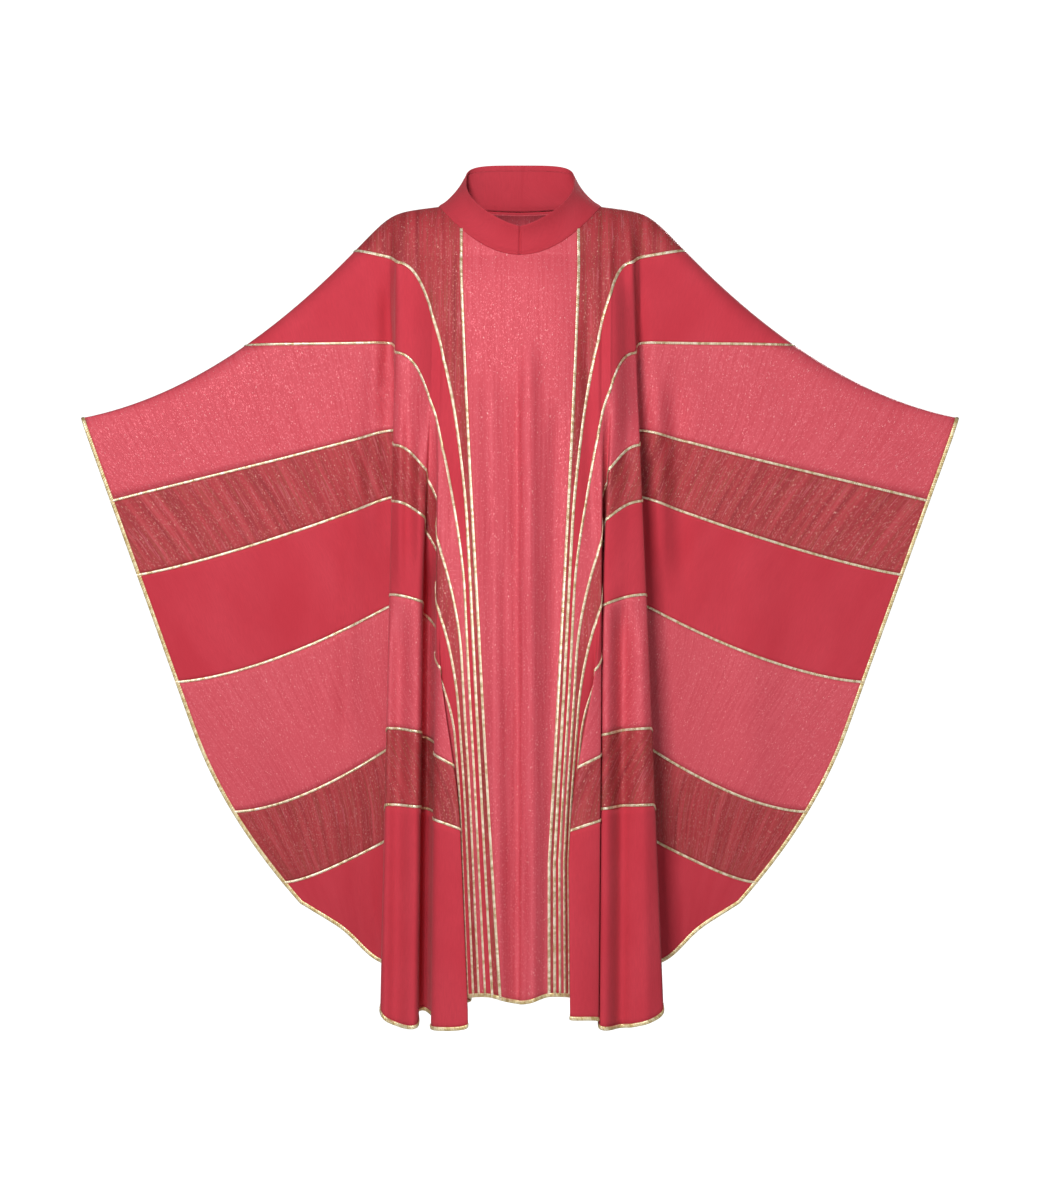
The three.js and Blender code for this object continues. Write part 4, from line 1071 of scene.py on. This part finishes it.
def panel_grid(side, sheet_name, panel):
    """Stations of a panel's grid, as rows by columns of (knot, height)."""
    sheet = SHEETS[sheet_name]
    inner, outer = (LINES[side["name"], sheet_name][i].copy() for i in (panel, panel + 1))
    if panel == 0:
        for line in (inner, outer):
            line[:, 0] = drape_x(side, line[:, 0], line[:, 1])
    share = np.linspace(0, 1, COLUMNS[panel] + 1)
    grid = mix(inner[:, None], outer[:, None], share[None, :, None])
    if panel < FIRST_OPEN:
        target = end_line(side, sheet, panel, share)
        target[[0, -1]] = grid[-1, [0, -1]]
        pull = (np.arange(len(grid)) / (len(grid) - 1)) ** END_PULL
        grid = grid + pull[:, None, None] * (target - grid[-1])[None]
    if panel == 0:
        grid[..., 0] = knot_at_x(side, grid[..., 0], grid[..., 1])
    return grid


def cloth_uv(side, grid):
    """Across and along the cloth in millimetres, from the middle and from the neck."""
    u, z = grid[..., 0], grid[..., 1]
    body = lookup(side["arc"], np.minimum(u, LAST_KNOT), z)
    wing = np.clip(u - LAST_KNOT, 0, None) / WING_KNOTS * (HALF_SPAN - side["outer"][0])
    return np.stack([side["sign"] * (body + wing), z], axis=-1)


def half_panel(side, sheet_name, panel):
    sheet = SHEETS[sheet_name]
    grid = panel_grid(side, sheet_name, panel)
    points = drape(side, sheet, grid[..., 0], grid[..., 1])
    flat_points = points.reshape(-1, 3)
    faces = turned_out(flat_points, grid_faces(*grid.shape[:2]), sheet)
    along = path_length(points[:, points.shape[1] // 2])
    return flat_points, cloth_uv(side, grid).reshape(-1, 2), faces, along


# %% Side panels
SLOTS = {"plain": "plain_cloth", "glitter": "glitter_cloth", "streaked": "streaked_cloth",
         "collar": "collar_cloth", "canvas": "collar_canvas"}


def make_panel(node_name, halves, finish):
    points = np.concatenate([half[0] for half in halves])
    uvs = np.concatenate([half[1] for half in halves])
    faces = np.concatenate([half[2] + sum(len(before[0]) for before in halves[:i])
                            for i, half in enumerate(halves)])
    area, along = sheet_area(points, faces), sum(half[3] for half in halves)
    piece = cloth_mesh(node_name + "_cloth", points, uvs, faces, CLOTHS[finish])
    if len(halves) > 1:
        weld(piece, WELD_REACH)
    thicken(piece, CLOTH)
    declare_cloth(piece, node_name, SLOTS[finish], area, along)
    return piece


for side_name, one_side in SIDES.items():
    for panel, (panel_name, finish) in enumerate(zip(PANELS, FINISHES)):
        if panel < FIRST_OPEN:
            halves = [half_panel(one_side, name, panel) for name in SHEETS]
            make_panel(f"{side_name}_{panel_name}", halves, finish)
        else:
            for sheet_name in SHEETS:
                half = half_panel(one_side, sheet_name, panel)
                make_panel(f"{side_name}_{sheet_name}_{panel_name}", [half], finish)
print("side panels:", len(FLAT_SIZES))

# %% [markdown]
# ## Centre panels
# The centre panel hangs between the two centre seams. Its rows bow down towards the neck, so that the
# top row follows the neck seam.

# %% Centre panels
CENTRE_COLUMNS = 22
NECK_CURVE, HEM_SPREAD = 4, 2  # how late the rows bow to the neck, and how soon they leave the hem


def centre_half(side, sheet_name, middle_z):
    sheet = SHEETS[sheet_name]
    line = LINES[side["name"], sheet_name][0]
    share = np.linspace(0, 1, CENTRE_COLUMNS + 1)[None]
    z = mix(middle_z[:, None], line[:, 1:2], share)
    turn_z, seam_z = -BANDS[1]["turn"] * LENGTH, neck_seam(SEAM_TOP, sheet)
    climbed = np.clip((z - turn_z) / (seam_z - turn_z), 0, 1)
    z = z + (neck_seam(SEAM_TOP * share, sheet) - seam_z) * climbed**NECK_CURVE
    foot = z[:1] + 0
    foot_x = drape_x(side, line[:1, :1], foot[:, -1:]) * share
    hem_drop = hem(side, knot_at_x(side, foot_x, foot)) - foot
    from_hem = 1 - np.arange(STRIP_ROWS) / STRIP_ROWS
    z[:STRIP_ROWS] += hem_drop * from_hem[:, None] ** HEM_SPREAD
    edge_x = drape_x(side, line[:, 0:1] + 0 * z, z)
    u = knot_at_x(side, edge_x * share, z)
    u[:, -1] = line[:, 0]
    return np.stack([u, z], axis=-1)


for sheet_name, sheet in SHEETS.items():
    seams = [LINES[name, sheet_name][0][:, 1] for name in SIDES]
    middle_z = sum(seams) / 2
    grids = [centre_half(one_side, sheet_name, middle_z) for one_side in SIDES.values()]
    surfaces = [drape(s, sheet, g[..., 0], g[..., 1]) for s, g in zip(SIDES.values(), grids)]
    maps = [cloth_uv(s, g) for s, g in zip(SIDES.values(), grids)]
    middle = (surfaces[0][:, :1] + surfaces[1][:, :1]) / 2
    points = np.concatenate([surfaces[0][:, :0:-1], middle, surfaces[1][:, 1:]], axis=1)
    uvs = np.concatenate([maps[0][:, ::-1], maps[1][:, 1:]], axis=1)
    along = path_length(points[:, points.shape[1] // 2])
    faces = turned_out(points.reshape(-1, 3), grid_faces(*points.shape[:2]), sheet)
    whole = (points.reshape(-1, 3), uvs.reshape(-1, 2), faces, along)
    make_panel(f"centre_{sheet_name}_panel", [whole], "glitter")

# %% [markdown]
# ## Collar
# The collar is a tube of cloth over a stiff canvas. It stands up from the neck seam, draws in a
# little, and its top edge is rolled over to the inside. A seam runs down its front. Three layers
# make it, as a tailor would: the outer cloth, the canvas and the facing.

# %% Collar surface
COLLAR_FRONT_TOP, COLLAR_BACK_TOP, COLLAR_RISE, COLLAR_SQUARE = -42, 74, 0.7, 0.5
COLLAR_HALF_WIDTH, COLLAR_FRONT, COLLAR_BACK, COLLAR_WAIST = 88, 98, 72, 5
COLLAR_TURNS, COLLAR_ROWS, LINING_START = 720, 36, 0.06
COLLAR_SEAM_DEPTH, COLLAR_SEAM_WIDTH = 3.4, 2.4
FOOT_PUFF, PUFF_PLACE, PUFF_REACH = 1.6, 0.07, 0.06  # a soft roll just above the neck seam
WOBBLE, WOBBLE_TURNS, WOBBLE_START = 0.9, 5, 0.8
ROLL, ROLL_STEPS, TURNED_IN = 2.4, 9, (0.94, 0.88)  # the outer cloth's roll over the top edge
COLLAR_CLOTH = CLOTH * 0.8

TURN = np.linspace(-math.pi, math.pi, COLLAR_TURNS, endpoint=False)
SINE, COSINE = np.sin(TURN), np.cos(TURN)


def collar_foot():
    """The ring on the neck seam that the collar stands on."""
    ring = np.empty((COLLAR_TURNS, 3))
    for side in SIDES.values():
        for sheet in SHEETS.values():
            mine = ((SINE < 0) == (side["sign"] < 0)) & ((COSINE > 0) == (sheet < 0))
            x = NECK_HALF_WIDTH * abs(SINE[mine])
            z = np.minimum(neck_seam(x, sheet), ridge(x))
            ring[mine] = drape(side, sheet, knot_at_x(side, x, z), z)
    return ring


def collar_head():
    """The ring at the collar's top edge. It lies nearly in a plane that rises to the back."""
    square = np.where(COSINE > 0, 1, COLLAR_SQUARE)  # the back half is squarer than an ellipse
    x = COLLAR_HALF_WIDTH * np.sign(SINE) * abs(SINE) ** square
    y = -np.where(COSINE > 0, COLLAR_FRONT, COLLAR_BACK) * np.sign(COSINE) * abs(COSINE) ** square
    to_back = (COLLAR_FRONT + y) / (COLLAR_FRONT + COLLAR_BACK)
    z = mix(COLLAR_FRONT_TOP, COLLAR_BACK_TOP, np.maximum(to_back, 0) ** COLLAR_RISE)
    return np.stack([x, y, z], axis=-1)


FOOT, HEAD = collar_foot(), collar_head()


def collar_surface(shares, depth):
    """Rows of the collar at shares of its height, moved inwards by a depth in millimetres."""
    points = mix(FOOT[:, None], HEAD[:, None], shares[None, :, None])
    belly = np.sin(np.pi * np.clip(shares, 0, 1))
    puff = FOOT_PUFF * np.exp(-((shares - PUFF_PLACE) / PUFF_REACH) ** 2)
    from_seam = NECK_HALF_WIDTH * SINE / COLLAR_SEAM_WIDTH
    seam = COLLAR_SEAM_DEPTH * np.where(COSINE > 0, np.exp(-(from_seam**2)), 0)
    wobble = WOBBLE * np.sin(WOBBLE_TURNS * TURN + WOBBLE_START)
    inward = (COLLAR_WAIST + wobble[:, None]) * belly - puff + seam[:, None] + depth
    points[..., 0] -= inward * SINE[:, None]
    points[..., 1] += inward * COSINE[:, None]
    return points


def collar_layer(node_name, points, finish, inside):
    rings, rows = points.shape[:2]
    girth = np.linalg.norm(np.diff(np.concatenate([points, points[:1]]), axis=0), axis=-1)
    across = np.concatenate([0 * girth[:1], np.cumsum(girth, axis=0)])[:-1]
    climb = np.linalg.norm(np.diff(points, axis=1), axis=-1)
    along = np.concatenate([0 * climb[:, :1], np.cumsum(climb, axis=1)], axis=1)
    faces = grid_faces(rings, rows, wrap=True)
    flat_points = points.reshape(-1, 3)
    centre = flat_points[faces].mean(axis=1) * np.array([1, 1, 0])
    outwards = (face_directions(flat_points, faces) * centre).sum() > 0
    if outwards == inside:
        faces = faces[:, ::-1]
    area, length = sheet_area(flat_points, faces), float(along[:, -1].mean()) * MM
    uvs = np.stack([across, along], axis=-1).reshape(-1, 2)
    piece = cloth_mesh(node_name + "_cloth", flat_points, uvs, faces, CLOTHS[finish])
    thicken(piece, COLLAR_CLOTH)
    declare_cloth(piece, node_name, SLOTS[finish], area, length)


# %% Collar layers
def collar_roll():
    """The rows that carry the outer cloth over the top edge and down inside it."""
    for angle in np.linspace(0, math.pi, ROLL_STEPS)[1:]:
        row = collar_surface(np.array([1.0]), ROLL / 2 * (1 - math.cos(angle)))
        row[..., 2] += ROLL / 2 * math.sin(angle)
        yield row
    yield collar_surface(np.array(TURNED_IN), ROLL)


upright = collar_surface(np.linspace(0, 1, COLLAR_ROWS), 0)
canvas = collar_surface(np.linspace(LINING_START, 0.97, 20), 1.1)
lining = collar_surface(np.linspace(LINING_START, 0.9, 24), ROLL + 0.8)
rolled = np.concatenate([upright, *collar_roll()], axis=1)
collar_layer("collar_outer", rolled, "collar", inside=False)
collar_layer("collar_interlining", canvas, "canvas", inside=False)
collar_layer("collar_facing", lining, "collar", inside=True)

# %% [markdown]
# ## Binding
# A cream-gold binding closes the whole free edge. It is swept like the braid, along the hem and the
# wing edges of the front and the back in one closed path.

# %% Edge path
BINDING_WIDTH, BINDING_THICKNESS, BINDING_HOLD = 6.2, 2.4, 0.85
HEM_STATIONS, EDGE_STATIONS = 260, 120


def edge_leg(side, sheet):
    """From the middle of the hem out to the wing tip."""
    u = np.linspace(0, WING_EDGE, HEM_STATIONS)
    z = hem(side, u)
    up = np.linspace(0, 1, EDGE_STATIONS)[1:]
    u = np.concatenate([u, 0 * up + WING_EDGE])
    z = np.concatenate([z, mix(CORNER_Z, TIP_Z, up)])
    points = drape(side, sheet, u, z)
    facing = outward(side, sheet, np.minimum(u, WING_EDGE - 0.02), z)
    facing[-1] = ridge_facing(side, HALF_SPAN - 2.0)
    return points, facing


def edge_path():
    """One closed path: the right side's front and back, then the left side's back and front."""
    legs = [edge_leg(SIDES[name], sheet) for name, sheet in
            (("right", -1), ("right", 1), ("left", 1), ("left", -1))]
    parts = (slice(None), slice(-2, None, -1), slice(1, None), slice(-2, 0, -1))
    return (np.concatenate([leg[i][part] for leg, part in zip(legs, parts)]) for i in (0, 1))


points, facing = edge_path()
facing = smooth_facing(facing, 3)
along = np.roll(points, -1, axis=0) - np.roll(points, 1, axis=0)
inwards = unit(np.cross(facing, along))
middle = points + inwards * BINDING_WIDTH / 2 * BINDING_HOLD
binding = sweep_braid("edge_binding_cord", (middle, facing, True), BINDING_WIDTH,
                      BINDING_THICKNESS, BINDING)
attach(binding, "root")
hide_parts("edge_binding")

# %% [markdown]
# ## Stitches
# Small stitches hold the braid down along both of its edges. Others run round inside the binding
# and round the foot and the top of the collar. From a distance they are too fine to count.

# %% Stitch rows
STITCH_THICKNESS = 0.5
BRAID_STITCH_LIFT, BINDING_STITCH_LIFT, COLLAR_STITCH_LIFT = 0.95, 0.35, 0.15
COLLAR_STITCH_ROWS = (0.07, 0.86)  # shares of the collar's height


def stitch_rows(name, paths, material, spacing, length):
    piece = follow(name, STITCH_TREE, paths, {"Spacing": spacing * MM, "Length": length * MM,
                                              "Thickness": STITCH_THICKNESS * MM,
                                              "Material": material})
    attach(piece, "root")


def beside(points, facing, distance, lift):
    across = unit(np.cross(facing, np.gradient(points, axis=0)))
    return points + across * distance + facing * lift


for side_name in SIDES:
    rows = [(beside(p, f, way * BAND_WIDTH * 0.4, BRAID_STITCH_LIFT), f, False)
            for name, p, f in EDGE_ROWS if name == side_name for way in (-1, 1)]
    stitch_rows(f"{side_name}_braid_stitches", rows, GOLD_THREAD, 9, 2.6)
inner_edge = points + inwards * (BINDING_WIDTH + 0.6) + facing * BINDING_STITCH_LIFT
stitch_rows("binding_stitches", [(inner_edge, facing, True)], RED_THREAD, 6, 3)
collar_rows = []
for share in COLLAR_STITCH_ROWS:
    ring = collar_surface(np.array([share]), -COLLAR_STITCH_LIFT)[:, 0]
    collar_rows.append((ring, unit(ring * np.array([1, 1, 0])), True))
stitch_rows("collar_stitches", collar_rows, RED_THREAD, 5, 2.6)

# %% [markdown]
# ## Studio
# The garment is shown against a white sweep. A soft light from the front and the left shows the
# folds, a weak one on the right fills their shadows, and a third lights the back. The paper and the
# world are bright only to the camera. They throw little light, so the folds stay deep.

# %% Floor and backdrop
FLOOR_Z, WALL_Y, SWEEP, SWEEP_SIDE, SWEEP_TOP = -1.95, 4.2, 1.6, 9.0, 5.0
PAPER_GLOW, PAPER_TO_CAMERA, SKY_GLOW = 0.06, 0.9, 0.13


def camera_glow(tree, to_camera, always):
    """A strength that is higher for what the camera sees directly."""
    seen = node(tree, "ShaderNodeLightPath").outputs["Is Camera Ray"]
    return calc(tree, "MULTIPLY_ADD", seen, to_camera, always)


def studio_sweep():
    bend = [(WALL_Y - SWEEP + SWEEP * math.sin(a), FLOOR_Z + SWEEP - SWEEP * math.cos(a))
            for a in np.linspace(0, math.pi / 2, 17)]
    profile = [(-SWEEP_SIDE, FLOOR_Z), *bend, (WALL_Y, SWEEP_TOP)]
    vertices = [(x, y, z) for y, z in profile for x in (-SWEEP_SIDE, SWEEP_SIDE)]
    faces = [(2 * i, 2 * i + 1, 2 * i + 3, 2 * i + 2) for i in range(len(profile) - 1)]
    mesh = bpy.data.meshes.new("studio_sweep")
    mesh.from_pydata(vertices, [], faces)
    mesh.polygons.foreach_set("use_smooth", [True] * len(faces))
    sweep = new_object("studio_sweep", mesh)
    material, tree = new_material("matte_white_paper", "#F5F5F5")
    glow = camera_glow(tree, PAPER_TO_CAMERA, PAPER_GLOW)
    shader = node(tree, "ShaderNodeBsdfPrincipled", {"Emission Strength": glow}, {
        "Base Color": srgb("#A8A8A8"), "Roughness": 0.9, "Emission Color": srgb("#FFFFFF")})
    node(tree, "ShaderNodeOutputMaterial", {"Surface": shader.outputs["BSDF"]})
    mesh.materials.append(material)


def soft_light(name, place, aim, size, power):
    light = bpy.data.lights.new(name, "AREA")
    light.shape, light.size, light.energy = "SQUARE", size, power
    lamp = new_object(name, light)
    lamp.location = place
    direction = np.array(aim) - np.array(place)
    yaw = math.atan2(direction[1], direction[0])
    fall = math.acos(-direction[2] / np.linalg.norm(direction))
    lamp.rotation_euler = (fall, 0, yaw - math.pi / 2)
    lamp.visible_camera = False


studio_sweep()
MIDDLE = (0, 0, -0.62)
soft_light("front_light", (-0.85, -3.8, 1.1), MIDDLE, 0.95, 172)
soft_light("fill_light", (2.4, -4.0, 0.3), MIDDLE, 2.0, 24)
soft_light("back_light", (1.2, 3.5, 0.7), MIDDLE, 1.4, 85)
world = bpy.data.worlds.new("studio")
world.use_nodes = True
sky = world.node_tree.nodes["Background"]
sky.inputs["Color"].default_value = (1, 1, 1, 1)
sky_glow = camera_glow(world.node_tree, 1 - SKY_GLOW, SKY_GLOW)
world.node_tree.links.new(sky_glow, sky.inputs["Strength"])
bpy.context.scene.world = world
bpy.context.scene.view_settings.view_transform = "Standard"

# %% Camera
EYE_DISTANCE, EYE_HEIGHT, FRAME_HEIGHT = 5.5, -0.629, 1.92
camera = bpy.data.cameras.new("camera")
camera.sensor_fit, camera.sensor_height = "VERTICAL", 24
camera.lens = camera.sensor_height * EYE_DISTANCE / FRAME_HEIGHT
eye = new_object("camera", camera)
eye.location = (0, -EYE_DISTANCE, EYE_HEIGHT)
eye.rotation_euler = (math.pi / 2, 0, 0)
bpy.context.scene.camera = eye

# %% Sizes
for name, (breadth, along) in FLAT_SIZES.items():
    print(f"{name}: {breadth * 1000:.0f} x {along * 1000:.0f} mm")
